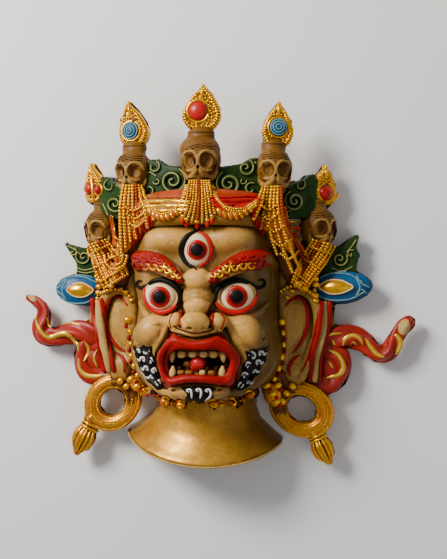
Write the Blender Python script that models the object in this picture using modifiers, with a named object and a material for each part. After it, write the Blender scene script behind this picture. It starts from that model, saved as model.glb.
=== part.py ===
"""A painted wall mask of a wrathful three-eyed guardian, cast in one piece with a hollow back.

It lies on its back: +Z is the way the face looks, +Y is towards the crown, +X is to the
viewer's right. Every form is modelled about the face's midline and the back plane, the forms
are fused into one skin, and the finished solid is moved so that its origin is the middle of
its underside.
"""

import math

import bmesh
import bpy
from mathutils import Euler, Vector

# The mask is a free form: its places, sizes and carving are all shares of its width over the scarves
WIDTH = 0.345
U = WIDTH / 345

# The casting
SKIN_VOXEL = 1.25 * U
SKIN_TRIANGLES = 8600
TEETH_TRIANGLES = 700
HOLLOW_TRIANGLES = 700
FACE_WALL = 0.010
NECK_WALL = 0.007
SIDES = (-1, 1)
COLOUR = (0.42, 0.27, 0.12, 1.0)

# The head, as smooth lumps: centre and half sizes. The hollow follows these
VAULT = ((0, 8 * U, 6 * U), (64 * U, 70 * U, 74 * U))
JAW = ((0, -50 * U, 10 * U), (58 * U, 53 * U, 74 * U))
TEMPLE = ((28 * U, 12 * U, 14 * U), (38 * U, 56 * U, 62 * U))
JOWL = ((26 * U, -48 * U, 14 * U), (38 * U, 46 * U, 64 * U))
WAIST = ((0, -22 * U, 8 * U), (63 * U, 58 * U, 72 * U))

# Fuller flesh on top of them, which the hollow leaves solid
FOREHEAD = ((0, 33 * U, 30 * U), (60 * U, 24 * U, 50 * U))
MUZZLE = ((0, -67 * U, 42 * U), (46 * U, 31 * U, 47 * U))
CAP = ((0, 52 * U, 44 * U), (60 * U, 26 * U, 32 * U))
CORNER = ((34 * U, -64 * U, 20 * U), (33 * U, 31 * U, 46 * U))

# The features of the face
EYE_AT = Vector((30.5, -13.5, 70)) * U
EYE_RADIUS = 15 * U
EYE_RIM = 2.2 * U
THIRD_EYE_AT = Vector((-0.8, 25, 77)) * U
NOSE_TIP_AT = Vector((0, -34, 98)) * U
NOSE_TIP = 12 * U
CHEEK_AT = Vector((40, -41, 75)) * U
MOUTH_AT = Vector((0, -66, 92)) * U
MOUTH_HALF_WIDTH = 29.5 * U
MOUTH_HALF_HEIGHT = 15 * U
MOUTH_DEPTH = 13 * U
LIP = 4.6 * U
TOOTH = 3.0 * U

# The crown of five skulls: place, size, the way it turns and how far each pair stands to the right
SKULL = 17 * U
CENTRE_SKULL = (Vector((-0.9, 101, 60)) * U, 1.0, 0)
MIDDLE_SKULL = (Vector((60.2, 94, 46)) * U, 0.92, 12, -1 * U)
OUTER_SKULL = (Vector((94.2, 46, 22)) * U, 0.92, 36, 0.4 * U)
# Each jewel leaf: width, height and the height of its foot above the skull's middle
JEWEL = {0: (33 * U, 40 * U, 24 * U), 1: (27 * U, 40 * U, 18.5 * U), 2: (24 * U, 36 * U, 18 * U)}
# How far each jewel leaf stands from the middle of its skull, to the right and up
LEAF_LEFT = {0: (0.6 * U, 0), 1: (0.3 * U, 1.4 * U), 2: (-6.6 * U, 3.4 * U)}
LEAF_RIGHT = {1: (3 * U, -0.8 * U), 2: (4.8 * U, -0.6 * U)}

# The ears, earrings and neck
EAR_AT = Vector((79, -43, 21)) * U
EAR_HALF_HEIGHT = 38 * U
RING_AT = {-1: Vector((-86, -107.7, 17)) * U, 1: Vector((80.8, -111.2, 17)) * U}
RING_STRETCH = {-1: 1.16, 1: 1.22}
RING_TILT = {-1: 45, 1: -30}
RING_RADIUS = 17.4 * U
RING_SECTION = {-1: 6.9 * U, 1: 7.0 * U}
BUD_LENGTH = {-1: 34.5 * U, 1: 30.5 * U}
BUD = {-1: 10.2 * U, 1: 9.4 * U}
NECK_HALF_WIDTH = 43.5 * U
NECK_DEPTH = 48 * U
RIM_HALF_WIDTH = 69.4 * U
RIM_DEPTH = 60 * U
RIM_DROP = 22 * U
NECK_ROLL = -3.4
NECK_SHIFT = -5.4 * U


def collection(name):
    made = bpy.data.collections.new(name)
    bpy.context.scene.collection.children.link(made)
    return made


def keep_in(group, obj):
    for old in list(obj.users_collection):
        old.objects.unlink(obj)
    group.objects.link(obj)
    return obj


def mirrored(point, side):
    return Vector((side * point[0], point[1], point[2]))


def ellipsoid(centre, radii, turn=(0, 0, 0), segments=32):
    """A ball with three half sizes, turned by angles in degrees."""
    bpy.ops.mesh.primitive_uv_sphere_add(segments=segments, ring_count=segments // 2, radius=1)
    ball = bpy.context.object
    ball.scale = radii
    ball.rotation_euler = Euler([math.radians(a) for a in turn])
    ball.location = centre
    return ball


def tube(points, radius, sizes=None, closed=False, flat=1.0):
    """A smooth round rod through the points; sizes scale its radius at each point."""
    curve = bpy.data.curves.new("rod", "CURVE")
    curve.dimensions = "3D"
    curve.bevel_depth = radius
    curve.bevel_resolution = 3
    curve.use_fill_caps = True
    curve.resolution_u = 6
    spline = curve.splines.new("BEZIER")
    spline.bezier_points.add(len(points) - 1)
    spline.use_cyclic_u = closed
    for i, place in enumerate(points):
        knot = spline.bezier_points[i]
        knot.co = place
        knot.handle_left_type = knot.handle_right_type = "AUTO"
        knot.radius = sizes[i] if sizes else 1.0
    rod = bpy.data.objects.new("rod", curve)
    bpy.context.scene.collection.objects.link(rod)
    if flat != 1.0:
        middle = sum((Vector(p) for p in points), Vector()) / len(points)
        rod.scale.z = flat
        rod.location.z = middle.z * (1 - flat)
    return rod


def plate(outline, thickness, at, turn=(0, 0, 0), rounding=0.3):
    """A flat outline in X and Y, with softened edges, its mid-plane through the place given."""
    curve = bpy.data.curves.new("plate", "CURVE")
    curve.dimensions = "2D"
    curve.fill_mode = "BOTH"
    curve.extrude = thickness / 2 * (1 - rounding)
    curve.bevel_depth = thickness / 2 * rounding
    curve.offset = -curve.bevel_depth
    curve.resolution_u = 6
    spline = curve.splines.new("BEZIER")
    spline.bezier_points.add(len(outline) - 1)
    spline.use_cyclic_u = True
    for i, (x, y, sharp) in enumerate(outline):
        knot = spline.bezier_points[i]
        knot.co = (x, y, 0)
        knot.handle_left_type = knot.handle_right_type = "VECTOR" if sharp else "AUTO"
    made = bpy.data.objects.new("plate", curve)
    bpy.context.scene.collection.objects.link(made)
    made.rotation_euler = Euler([math.radians(a) for a in turn])
    made.location = at
    return made


def loft(rings, name="loft"):
    """A closed skin over rings of equally many points, capped at both ends."""
    shape = bmesh.new()
    rows = [[shape.verts.new(point) for point in ring] for ring in rings]
    for lower, upper in zip(rows, rows[1:]):
        for i in range(len(lower)):
            j = (i + 1) % len(lower)
            shape.faces.new((lower[i], lower[j], upper[j], upper[i]))
    shape.faces.new(rows[0])
    shape.faces.new(rows[-1])
    bmesh.ops.recalc_face_normals(shape, faces=shape.faces)
    mesh = bpy.data.meshes.new(name)
    shape.to_mesh(mesh)
    shape.free()
    made = bpy.data.objects.new(name, mesh)
    bpy.context.scene.collection.objects.link(made)
    return made


def joined(parts, name):
    """One mesh object that holds every part as the viewport shows it; the parts are removed."""
    bpy.context.view_layer.update()
    graph = bpy.context.evaluated_depsgraph_get()
    whole = bmesh.new()
    for part in parts:
        mesh = bpy.data.meshes.new_from_object(part.evaluated_get(graph))
        piece = bmesh.new()
        piece.from_mesh(mesh)
        bmesh.ops.remove_doubles(piece, verts=piece.verts, dist=0.00001)
        bmesh.ops.recalc_face_normals(piece, faces=piece.faces)
        piece.to_mesh(mesh)
        piece.free()
        mesh.transform(part.matrix_world)
        if part.matrix_world.determinant() < 0:
            mesh.flip_normals()
        whole.from_mesh(mesh)
        bpy.data.meshes.remove(mesh)
    for part in parts:
        bpy.data.objects.remove(part)
    mesh = bpy.data.meshes.new(name)
    whole.to_mesh(mesh)
    whole.free()
    made = bpy.data.objects.new(name, mesh)
    bpy.context.scene.collection.objects.link(made)
    return made


def fused(obj, voxel, smoothing):
    """Gives the object modifiers that melt its overlapping forms into one smooth skin."""
    remesh = obj.modifiers.new("fuse", "REMESH")
    remesh.mode = "VOXEL"
    remesh.voxel_size = voxel
    smooth = obj.modifiers.new("soften", "SMOOTH")
    smooth.factor = 0.5
    smooth.iterations = smoothing
    return obj


def thinned(obj, triangles):
    """Adds a Decimate modifier that leaves about this many triangles."""
    bpy.context.view_layer.update()
    graph = bpy.context.evaluated_depsgraph_get()
    mesh = bpy.data.meshes.new_from_object(obj.evaluated_get(graph))
    mesh.calc_loop_triangles()
    now = len(mesh.loop_triangles)
    bpy.data.meshes.remove(mesh)
    decimate = obj.modifiers.new("facets", "DECIMATE")
    decimate.ratio = min(1.0, triangles / now)
    decimate.use_collapse_triangulate = True
    return obj


def baked(obj):
    """Replaces the object's mesh by what its modifiers make of it."""
    bpy.context.view_layer.update()
    graph = bpy.context.evaluated_depsgraph_get()
    mesh = bpy.data.meshes.new_from_object(obj.evaluated_get(graph))
    obj.modifiers.clear()
    obj.data = mesh
    return obj


def one_body(obj):
    """Keeps the largest connected skin, so that sealed bubbles inside it fill up."""
    shape = bmesh.new()
    shape.from_mesh(obj.data)
    left = set(shape.verts)
    bodies = []
    while left:
        body, edge = [], [left.pop()]
        while edge:
            vertex = edge.pop()
            body.append(vertex)
            for link in vertex.link_edges:
                other = link.other_vert(vertex)
                if other in left:
                    left.discard(other)
                    edge.append(other)
        bodies.append(body)
    bodies.sort(key=len)
    for body in bodies[:-1]:
        bmesh.ops.delete(shape, geom=body, context="VERTS")
    shape.to_mesh(obj.data)
    shape.free()
    return obj


def boolean(obj, other, operation, name):
    made = obj.modifiers.new(name, "BOOLEAN")
    made.operation = operation
    made.solver = "EXACT"
    made.object = other
    return made


def as_cutter(group, obj):
    keep_in(group, obj)
    obj.hide_render = True
    obj.display_type = "WIRE"
    return obj


def head_lumps(inset=0.0):
    """The head's smooth lumps with their flesh, or only the lumps drawn in by a wall."""
    lumps = [VAULT, WAIST, JAW]
    pairs = [TEMPLE, JOWL]
    if not inset:
        lumps += [FOREHEAD, CAP, MUZZLE]
        pairs += [CORNER]
    for (x, y, z), radii in pairs:
        lumps += [((side * x, y, z), radii) for side in SIDES]
    return [ellipsoid(at, [r - inset for r in radii], segments=40) for at, radii in lumps]


def brows():
    """A thick frowning ridge over each eye."""
    path = ((59, 13, 44), (51, 17, 60), (38, 15, 74), (24, 8, 83), (11, 1, 88))
    sizes = (0.5, 1.0, 1.05, 0.85, 0.5)
    return [
        tube([mirrored(Vector(p) * U, side) for p in path], 8 * U, sizes) for side in SIDES
    ]


def eyes():
    """Two round staring eyes in raised rims, bags below them, and an upright third eye."""
    made = []
    for side in SIDES:
        at = mirrored(EYE_AT, side)
        made.append(ellipsoid(at, (EYE_RADIUS,) * 3))
        rim = []
        for i in range(14):
            angle = 2 * math.pi * i / 14
            across = 0.97 * EYE_RADIUS * math.cos(angle)
            up = 0.85 * EYE_RADIUS * math.sin(angle)
            back = 9.0 * U - 0.22 * across * side
            rim.append(at + Vector((across, up, back)))
        made.append(tube(rim, EYE_RIM, closed=True))
        bag = ((15, -26, 79), (24, -33, 81), (36, -33, 77), (47, -28, 65), (55, -19, 49))
        made.append(tube([mirrored(Vector(p) * U, side) for p in bag], 4 * U, (1, 1, 1, 0.85, 0.6)))
    made.append(ellipsoid(THIRD_EYE_AT, (12 * U, 16 * U, 9 * U)))
    return made


def nose():
    """A knob between the brows, wrinkled bridge, two bulbs and flared wings."""
    made = [
        ellipsoid((0, 0.5 * U, 85 * U), (12 * U, 9.5 * U, 10 * U)),
        ellipsoid((0, -14 * U, 80 * U), (13 * U, 13 * U, 12 * U)),
        ellipsoid((0, -21 * U, 91 * U), (9.5 * U, 6 * U, 9 * U)),
        ellipsoid(NOSE_TIP_AT, (NOSE_TIP, 0.75 * NOSE_TIP, 1.1 * NOSE_TIP)),
    ]
    for y in (-9.5, -14):
        fold = ((-10, y, 86), (0, y, 91), (10, y, 86))
        made.append(tube([Vector(p) * U for p in fold], 2 * U))
    for side in SIDES:
        wing = NOSE_TIP_AT + Vector((side * 17.5, 0.5, -10)) * U
        made.append(ellipsoid(wing, (0.6 * NOSE_TIP, 0.54 * NOSE_TIP, 0.72 * NOSE_TIP)))
    ledge = ((-19, -40, 90), (-9, -42, 97), (0, -43.5, 99), (9, -42, 97), (19, -40, 90))
    made.append(tube([Vector(p) * U for p in ledge], 2.6 * U))
    return made


def cheeks_and_chin():
    """Apple cheeks, the folds beside the mouth, the chin and the fold of the jaw."""
    made = [ellipsoid((0, -91 * U, 76 * U), (26 * U, 9 * U, 14 * U))]
    for side in SIDES:
        made.append(
            ellipsoid(mirrored(CHEEK_AT, side), (18 * U, 11.5 * U, 13 * U), (0, 0, -side * 38))
        )
        fold = ((24, -35, 83), (32, -49, 80), (38, -60, 75), (38, -74, 71), (31, -87, 70))
        made.append(tube([mirrored(Vector(p) * U, side) for p in fold], 4 * U))
        jaw = ((60, -60, 36), (54, -76, 48), (41, -88, 58), (22, -95, 68), (0, -97, 73))
        made.append(tube([mirrored(Vector(p) * U, side) for p in jaw], 4.5 * U))
        made.append(ellipsoid((side * 25 * U, 34 * U, 64 * U), (22 * U, 13 * U, 19 * U)))
    return made


def lip_line():
    """The middle of the lips, all round the open mouth."""
    half = ((0, 0.9, 5), (0.34, 1.0, 5), (0.64, 1.08, 3.5), (0.88, 0.7, 0), (1.03, 0.1, -4.5))
    half += ((1.0, -0.5, -5.5), (0.84, -1.06, -4.5), (0.42, -0.96, -0.5), (0, -0.9, 0.5))
    points = [
        MOUTH_AT + Vector((x * MOUTH_HALF_WIDTH, y * MOUTH_HALF_HEIGHT, z * U)) for x, y, z in half
    ]
    back = [mirrored(p, -1) for p in reversed(points[1:-1])]
    return points + back


def lips():
    line = lip_line()
    sizes = [1.15 if p.y > MOUTH_AT.y else 0.85 for p in line]
    return [tube(line, LIP, sizes, closed=True)]


def mouth_cutter():
    """The open mouth: a shallow drum with the inner outline of the lips."""
    rings = []
    for depth, share in ((-MOUTH_DEPTH, 0.86), (-4 * U, 0.9), (14 * U, 0.92)):
        ring = []
        for i in range(24):
            angle = 2 * math.pi * i / 24
            c, s = math.cos(angle), math.sin(angle)
            x = MOUTH_HALF_WIDTH * share * abs(c) ** 0.7 * math.copysign(1, c)
            y = (MOUTH_HALF_HEIGHT - 0.62 * LIP) * share * abs(s) ** 0.7 * math.copysign(1, s)
            bend = 5 * U * (x / MOUTH_HALF_WIDTH) ** 2
            ring.append(MOUTH_AT + Vector((x, y, depth - bend)))
        rings.append(ring)
    return loft(rings, "mouth_cutter")


def teeth_and_tongue():
    """Gums with teeth and four fangs, and a round tongue between them."""
    made = []
    floor = MOUTH_AT.z - MOUTH_DEPTH
    for way in SIDES:
        row = MOUTH_AT.y + way * 0.62 * MOUTH_HALF_HEIGHT
        arc = []
        for share in (-0.82, -0.5, 0, 0.5, 0.82):
            lift = floor + 6.5 * U - 8 * U * share * share
            arc.append(Vector((share * MOUTH_HALF_WIDTH, row, lift)))
        made.append(tube(arc, 1.1 * TOOTH))
        for share in (-0.52, -0.27, 0, 0.27, 0.52):
            lift = floor + 8 * U - 8 * U * share * share
            at = Vector((share * MOUTH_HALF_WIDTH, row - way * 3 * U, lift))
            made.append(ellipsoid(at, (TOOTH, 1.1 * TOOTH, TOOTH), segments=10))
        for side in SIDES:
            lift = floor + 5 * U
            at = Vector((side * 0.78 * MOUTH_HALF_WIDTH, row - way * 4.5 * U, lift))
            made.append(ellipsoid(at, (0.9 * TOOTH, 1.9 * TOOTH, 1.2 * TOOTH), segments=10))
    tongue = MOUTH_AT + Vector((1 * U, -1.5 * U, -MOUTH_DEPTH))
    made.append(ellipsoid(tongue, (9 * U, 5 * U, 5 * U), segments=14))
    made.append(ellipsoid(tongue + Vector((0, 1, 5)) * U, (6 * U, 5.6 * U, 6 * U), segments=14))
    return made


def under_chin_curls():
    """Curl tips that peep out below the jaw."""
    places = ((-41, -93, 60), (-29, -101, 66), (-15, -103, 70))
    places += ((12, -103, 72), (31, -102, 66), (44, -94, 58), (-47, -97, 50))
    return [ellipsoid(Vector(p) * U, (4.5 * U, 5 * U, 5 * U), segments=12) for p in places]


def neck(inset=0.0):
    """A round neck that flares to a drooping rim; drawn in by a wall it is the neck's hollow."""
    stations = (0.0, 0.3, 0.5, 0.68, 0.85, 1.0)
    flare = (0.0, 0.0, 0.02, 0.18, 0.6, 1.0)
    top, rim = -84 * U, -135 * U
    if inset:
        stations = stations + (1.25,)
        flare = flare + (1.5,)
    rings = []
    for along, out in zip(stations, flare):
        half = NECK_HALF_WIDTH + (RIM_HALF_WIDTH - NECK_HALF_WIDTH) * out - inset
        deep = NECK_DEPTH + (RIM_DEPTH - NECK_DEPTH) * out - inset
        level = top + (rim - top) * along
        ring = []
        for i in range(36):
            angle = 2 * math.pi * (i + 0.5) / 36
            x, z = half * math.sin(angle), deep * math.cos(angle)
            droop = RIM_DROP * along * max(0.0, math.cos(angle)) ** 1.3
            y = level - droop + math.tan(math.radians(NECK_ROLL)) * x * along
            ring.append(Vector((x + NECK_SHIFT * (0.5 + along / 2), y, z)))
        rings.append(ring)
    return loft(rings, "neck")


def ear(side):
    """A long ear facing front: a leaf with a rolled rim, sunk in the middle."""
    at = mirrored(EAR_AT, side)
    h = EAR_HALF_HEIGHT
    rim = ((-0.36, 0.62), (-0.2, 0.86), (0.08, 0.9), (0.34, 0.68))
    rim += ((0.44, 0.25), (0.38, -0.25), (0.2, -0.7), (0.05, -1.05))
    line = [at + Vector((side * x * h, y * h, 5 * U)) for x, y in rim]
    lean = (0, side * 12, side * 4)
    seam = ((66, 10, 28), (67, -8, 24), (68, -30, 22), (66, -58, 22), (60, -82, 24))
    return [
        tube([mirrored(Vector(p) * U, side) for p in seam], 8.5 * U),
        ellipsoid(at - Vector((0, 0, 3 * U)), (0.46 * h, 0.96 * h, 8 * U), lean),
        ellipsoid(at + Vector((side * 8, 0, -10)) * U, (0.6 * h, 1.05 * h, 8 * U)),
        tube(line, 4.2 * U, (1.0, 1.0, 1.0, 1.0, 1.0, 1.0, 1.1, 1.2)),
        ellipsoid(at + Vector((-side * 4, -34, 0)) * U, (13 * U, 14 * U, 10 * U)),
    ]


def earring(side):
    """A thick ring with a bud hanging from it, tied to the ear's lobe and to the jaw."""
    at = RING_AT[side]
    bpy.ops.mesh.primitive_torus_add(
        major_radius=RING_RADIUS,
        minor_radius=RING_SECTION[side],
        major_segments=40,
        minor_segments=14,
    )
    ring = bpy.context.object
    ring.location = at
    ring.scale = (RING_STRETCH[side], 1.0, 1.0)
    ring.rotation_euler = (0, math.radians(side * 8), math.radians(RING_TILT[side]))
    away = Vector((-0.46, -0.89, 0)) if side < 0 else Vector((0.44, -0.9, 0))
    start = at + (Vector((-17, -15, 0)) if side < 0 else Vector((11, -19, 0))) * U
    path = [start + away * BUD_LENGTH[side] * share for share in (0.0, 0.25, 0.5, 0.78, 1.0)]
    bud = tube(path, BUD[side], (0.9, 0.72, 1.0, 0.88, 0.35))
    bud.scale.z = 0.8
    bud.location.z = at.z * 0.2
    tie_path = (
        at + Vector((-side * 8, 17, 3)) * U,
        at + Vector((-side * 15, 26, 8)) * U,
        at + Vector((-side * 20, 34, 14)) * U,
    )
    if side < 0:
        knot = ellipsoid(Vector((-60, -90, 30)) * U, (8 * U, 8 * U, 9 * U), (0, 0, 35))
    else:
        knot = ellipsoid(Vector((56.5, -97, 27)) * U, (8.5 * U, 13 * U, 9 * U), (0, 0, 12))
    return [ring, bud, tube(tie_path, 7 * U), knot]


def scarf(side):
    """A twisting scarf that blows outwards from behind the ear."""
    if side < 0:
        path = ((-94, -50), (-106, -48), (-117, -46.5), (-128, -48), (-140, -51))
        path += ((-149.5, -49), (-152.3, -41), (-150, -33), (-151, -25.5), (-157.3, -19), (-164.8, -15.4))
        sizes = (10, 11, 10.4, 9.2, 8.6, 8.8, 7.8, 6.6, 5.8, 4.4, 2.6)
        lobe = ((-95, -56), (-110.5, -58), (-113.8, -72), (-107, -84), (-89, -84))
        strip = ((-101, -20), (-98, -42), (-92, -62), (-87, -78))
    else:
        path = ((100, -52), (113, -49), (125, -49.5), (135, -54), (146, -63.3))
        path += ((155.3, -61.3), (161.5, -50.5), (167, -41.5), (172.8, -36))
        sizes = (10, 10.5, 9.8, 8.4, 7.8, 7.6, 7, 6.8, 6)
        lobe = ((99, -60), (112, -64), (115, -78), (106, -90), (93, -88))
        strip = ((104, -20), (101, -44), (93, -68), (92, -88))
    low = 13 * U
    blown = tube([(x * U, y * U, low) for x, y in path], 1 * U, sizes, flat=0.8)
    folded = tube([(x * U, y * U, low + 1 * U) for x, y in lobe], 8 * U, flat=0.8)
    edge = tube([(x * U, y * U, low + 4 * U) for x, y in strip], 6 * U)
    middle = Vector((sum(p[0] for p in lobe), sum(p[1] for p in lobe), 0)) / len(lobe) * U
    pad = ellipsoid(middle + Vector((0, 0, low)), (14 * U, 15 * U, 6 * U))
    tip = Vector((path[-1][0] * U, path[-1][1] * U, low))
    end = ellipsoid(tip, (sizes[-1] * U, sizes[-1] * U, 0.8 * sizes[-1] * U), segments=16)
    return [blown, folded, edge, pad, end]


def bud_and_leaf(side):
    """A lotus bud lying on its side above the ear, and a ragged leaf over it."""
    reach = 3 * U if side > 0 else 0
    drop = 0 if side > 0 else 2.2 * U
    at = Vector((side * (114.3 * U + reach / 2), -7 * U + reach / 4 - drop, 17 * U))
    bud = ellipsoid(at, (23.5 * U + reach, 14.5 * U, 9 * U), (0, 0, side * 4))
    seed = ellipsoid(at + Vector((-side * 4, 0, 7)) * U, (12 * U, 6 * U, 5 * U))
    if side < 0:
        outline = [(16, -14, False), (-5, -14, False), (-4.8, -2, False)]
        outline += [(-17, 16.5, True), (-3, 12.5, False), (14, 8, False)]
    else:
        outline = [(-14, -14, False), (12, -14, False), (14, -2, False), (17, 5, True)]
        outline += [(13, 10, True), (16, 22, True), (10, 21, False), (-2, 12, False), (-16, 8, False)]
    outline = [(x * U, y * U, sharp) for x, y, sharp in outline]
    leaf = plate(outline, 9 * U, (side * 114 * U, 17 * U, 13 * U))
    return [bud, seed, leaf]


def skull(at, size, turn):
    """A round skull with ringed sockets and cheekbones, open-jawed below, collared on top."""
    r = SKULL * size

    def placed(x, y, z):
        return at + Euler((0, math.radians(turn), 0)).to_matrix() @ Vector((x, y, z)) * r

    def on_cranium(x, y, lift=0.0):
        return placed(x, y, 0.98 * math.sqrt(max(0.04, 1 - x * x - (y / 1.12) ** 2)) + lift)

    cranium = ellipsoid(at, (r, 1.12 * r, 0.98 * r), (0, turn, 0))
    hollows = [
        ellipsoid(on_cranium(way * 0.42, -0.2), (0.3 * r, 0.38 * r, 0.3 * r), (0, turn + way * 25, 0))
        for way in SIDES
    ]
    hollows = joined(hollows, "sockets")
    boolean(cranium, hollows, "DIFFERENCE", "sockets")
    baked(cranium)
    bpy.data.objects.remove(hollows)
    made = [
        cranium,
        ellipsoid(placed(0, -0.95, 0.12), (0.68 * r, 0.72 * r, 0.72 * r), (0, turn, 0)),
        ellipsoid(placed(0, 1.2, -0.1), (0.7 * r, 0.5 * r, 0.55 * r), (0, turn, 0)),
    ]
    if turn == 0:
        made.append(ellipsoid(placed(-0.06, 0.5, -0.05), (1.02 * r, 0.76 * r, 0.86 * r)))
    for way in SIDES:
        socket = []
        for i in range(12):
            angle = i * math.pi / 6
            across, up = 0.36 * math.cos(angle), 0.44 * math.sin(angle)
            socket.append(on_cranium(way * 0.42 + across, -0.2 + up))
        made.append(tube(socket, 0.12 * r, closed=True))
        bone = [on_cranium(way * x, y, 0.04) for x, y in ((0.04, -0.6), (0.36, -0.8), (0.7, -0.6))]
        made.append(tube(bone, 0.13 * r))
    return made


def jewel(at, turn, kind):
    """The pointed jewel leaf on top of a skull, with a round stone in its middle."""
    width, height, foot = JEWEL[kind]
    half = width / 2
    lean = -0.34 * half if turn < 0 else 0.08 * half
    shoulder = 0.62 * half
    outline = [(lean, height, True), (lean / 2 + shoulder, 0.72 * height, False)]
    outline += [(half, 0.34 * height, False), (0.55 * half, 0.02 * height, False)]
    outline += [(-0.55 * half, 0.02 * height, False), (-half, 0.34 * height, False)]
    outline += [(lean / 2 - shoulder, 0.72 * height, False)]
    step, rise = (LEAF_RIGHT if turn > 0 else LEAF_LEFT)[kind]
    base = at + Vector((step, foot + rise, -1.7 * U))
    stone = base + Vector((0, 0.42 * height, 0))
    a = math.radians(turn)
    stone += Vector((math.sin(a), 0, math.cos(a))) * 4 * U
    return [
        plate(outline, 8.5 * U, base, (0, turn, 0), rounding=0.45),
        ellipsoid(stone, (0.3 * width, 0.3 * width, 4.2 * U), (0, turn, 0), segments=20),
    ]


def crown_units():
    """Place, size, turn and kind of each of the five skulls, from left to right."""
    units = []
    for side in SIDES:
        for kind, (at, size, turn, drift) in ((1, MIDDLE_SKULL), (2, OUTER_SKULL)):
            units.append((mirrored(at, side) + Vector((drift, 0, 0)), size, side * turn, kind))
    at, size, turn = CENTRE_SKULL
    units.append((at, size, turn, 0))
    return units


def scroll_panels():
    """Leafy panels with a spiral, standing between the skulls."""
    made = []
    for x, y, z, wide, high, turn in ((30, 81, 50, 46, 36, 14), (81, 69.5, 32, 30, 34, 36)):
        for side in SIDES:
            outline = [(-0.5, -0.5, True), (0.5, -0.5, True), (0.52, 0.44, False), (0.28, 0.62, False)]
            outline += [(0.04, 0.48, False), (-0.24, 0.4, False), (-0.52, 0.28, False)]
            shape = [(side * px * wide * U, py * high * U, sharp) for px, py, sharp in outline]
            at = Vector((side * x, y, z)) * U
            made.append(plate(shape, 12 * U, at, (0, side * turn, 0)))
            turned = Euler((0, math.radians(side * turn), 0)).to_matrix()
            spiral = []
            for i in range(15):
                angle = i * math.pi / 4
                reach = (11 - 0.72 * i) * U
                spot = Vector((reach * math.cos(angle) * side, reach * math.sin(angle), 6 * U))
                spiral.append(at + turned @ spot)
            made.append(tube(spiral, 1.5 * U))
    return made


def headband():
    """The rolled edge of the headdress over the forehead, and the cap behind it."""
    half = ((64, 22, 34), (60, 40, 48), (46, 49, 64), (24, 52, 77))
    arc = [(-x, y, z) for x, y, z in half] + [(0, 53, 81)] + list(reversed(half))
    points = [Vector(p) * U for p in arc]
    upper = [p + Vector((0, 14, -6)) * U for p in points[1:-1]]
    return [tube(points, 7.5 * U), tube(upper, 9 * U)]


def strands(top, bottom, width_top, width_bottom, count, radius, bulge):
    """A fall of bead strings that spreads from one place to another, as parallel rods."""
    made = []
    across = Vector((1, 0, 0))
    for i in range(count):
        share = (i + 0.5) / count - 0.5
        start = top + across * width_top * share
        end = bottom + across * width_bottom * share
        middle = (start + end) / 2 + Vector((0, 0, bulge))
        made.append(tube([start, middle, end], radius))
    return made


def garlands():
    """Bead strings that hang from the skulls' jaws, swags between them and the cloth behind."""
    top, bottom = Vector((0, 84, 76)) * U, Vector((0, 50, 86)) * U
    made = strands(top, bottom, 17 * U, 30 * U, 6, 2.3 * U, 4 * U)
    for side in SIDES:
        top = Vector((side * 58, 76, 58)) * U
        bottom = Vector((side * 62, 24, 52)) * U
        made += strands(top, bottom, 20 * U, 18 * U, 5, 2.6 * U, 6 * U)
        fall = ((60, 60, 52), (66, 36, 50), (70, 14, 42), (77, -2, 32))
        made.append(tube([mirrored(Vector(p) * U, side) for p in fall], 9 * U))
        outer = ((98, 28, 24), (94, 14, 26), (86, 2, 28), (80, -8, 30))
        made.append(tube([mirrored(Vector(p) * U, side) for p in outer], 9 * U, (0.8, 0.95, 1.1, 1.0)))
        cloth = ((60, 52, 42), (70, 38, 36), (79, 24, 26))
        made.append(tube([mirrored(Vector(p) * U, side) for p in cloth], 5 * U))
        made.append(ellipsoid((side * 84 * U, 14 * U, 20 * U), (13 * U, 20 * U, 9 * U)))
        for low in (0, 5):
            swag = ((10, 70 - low, 82), (24, 60 - low, 82), (38, 58 - low, 76), (52, 64 - low, 66))
            made.append(tube([mirrored(Vector(p) * U, side) for p in swag], 3 * U))
    made.append(ellipsoid(Vector((-80, 40, 24)) * U, (14 * U, 22 * U, 10 * U)))
    return made


def all_forms():
    """Everything that is melted into the one skin."""
    forms = head_lumps() + brows() + eyes() + nose() + cheeks_and_chin() + lips()
    forms += under_chin_curls() + [neck()] + headband() + garlands() + scroll_panels()
    for side in SIDES:
        forms += ear(side) + earring(side) + scarf(side) + bud_and_leaf(side)
    for at, size, turn, kind in crown_units():
        forms += skull(at, size, turn) + jewel(at, turn, kind)
    return forms


def paint(obj):
    material = bpy.data.materials.new("painted_resin")
    material.use_nodes = True
    shader = material.node_tree.nodes["Principled BSDF"]
    shader.inputs["Base Color"].default_value = COLOUR
    shader.inputs["Roughness"].default_value = 0.42
    shader.inputs["Metallic"].default_value = 0.0
    obj.data.materials.clear()
    obj.data.materials.append(material)


def set_on_origin(obj):
    """Moves the mesh so that its origin is the middle of its underside."""
    corners = [v.co for v in obj.data.vertices]
    lows = [min(c[i] for c in corners) for i in range(3)]
    highs = [max(c[i] for c in corners) for i in range(3)]
    shift = Vector((-(lows[0] + highs[0]) / 2, -(lows[1] + highs[1]) / 2, -lows[2]))
    for vertex in obj.data.vertices:
        vertex.co += shift


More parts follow.
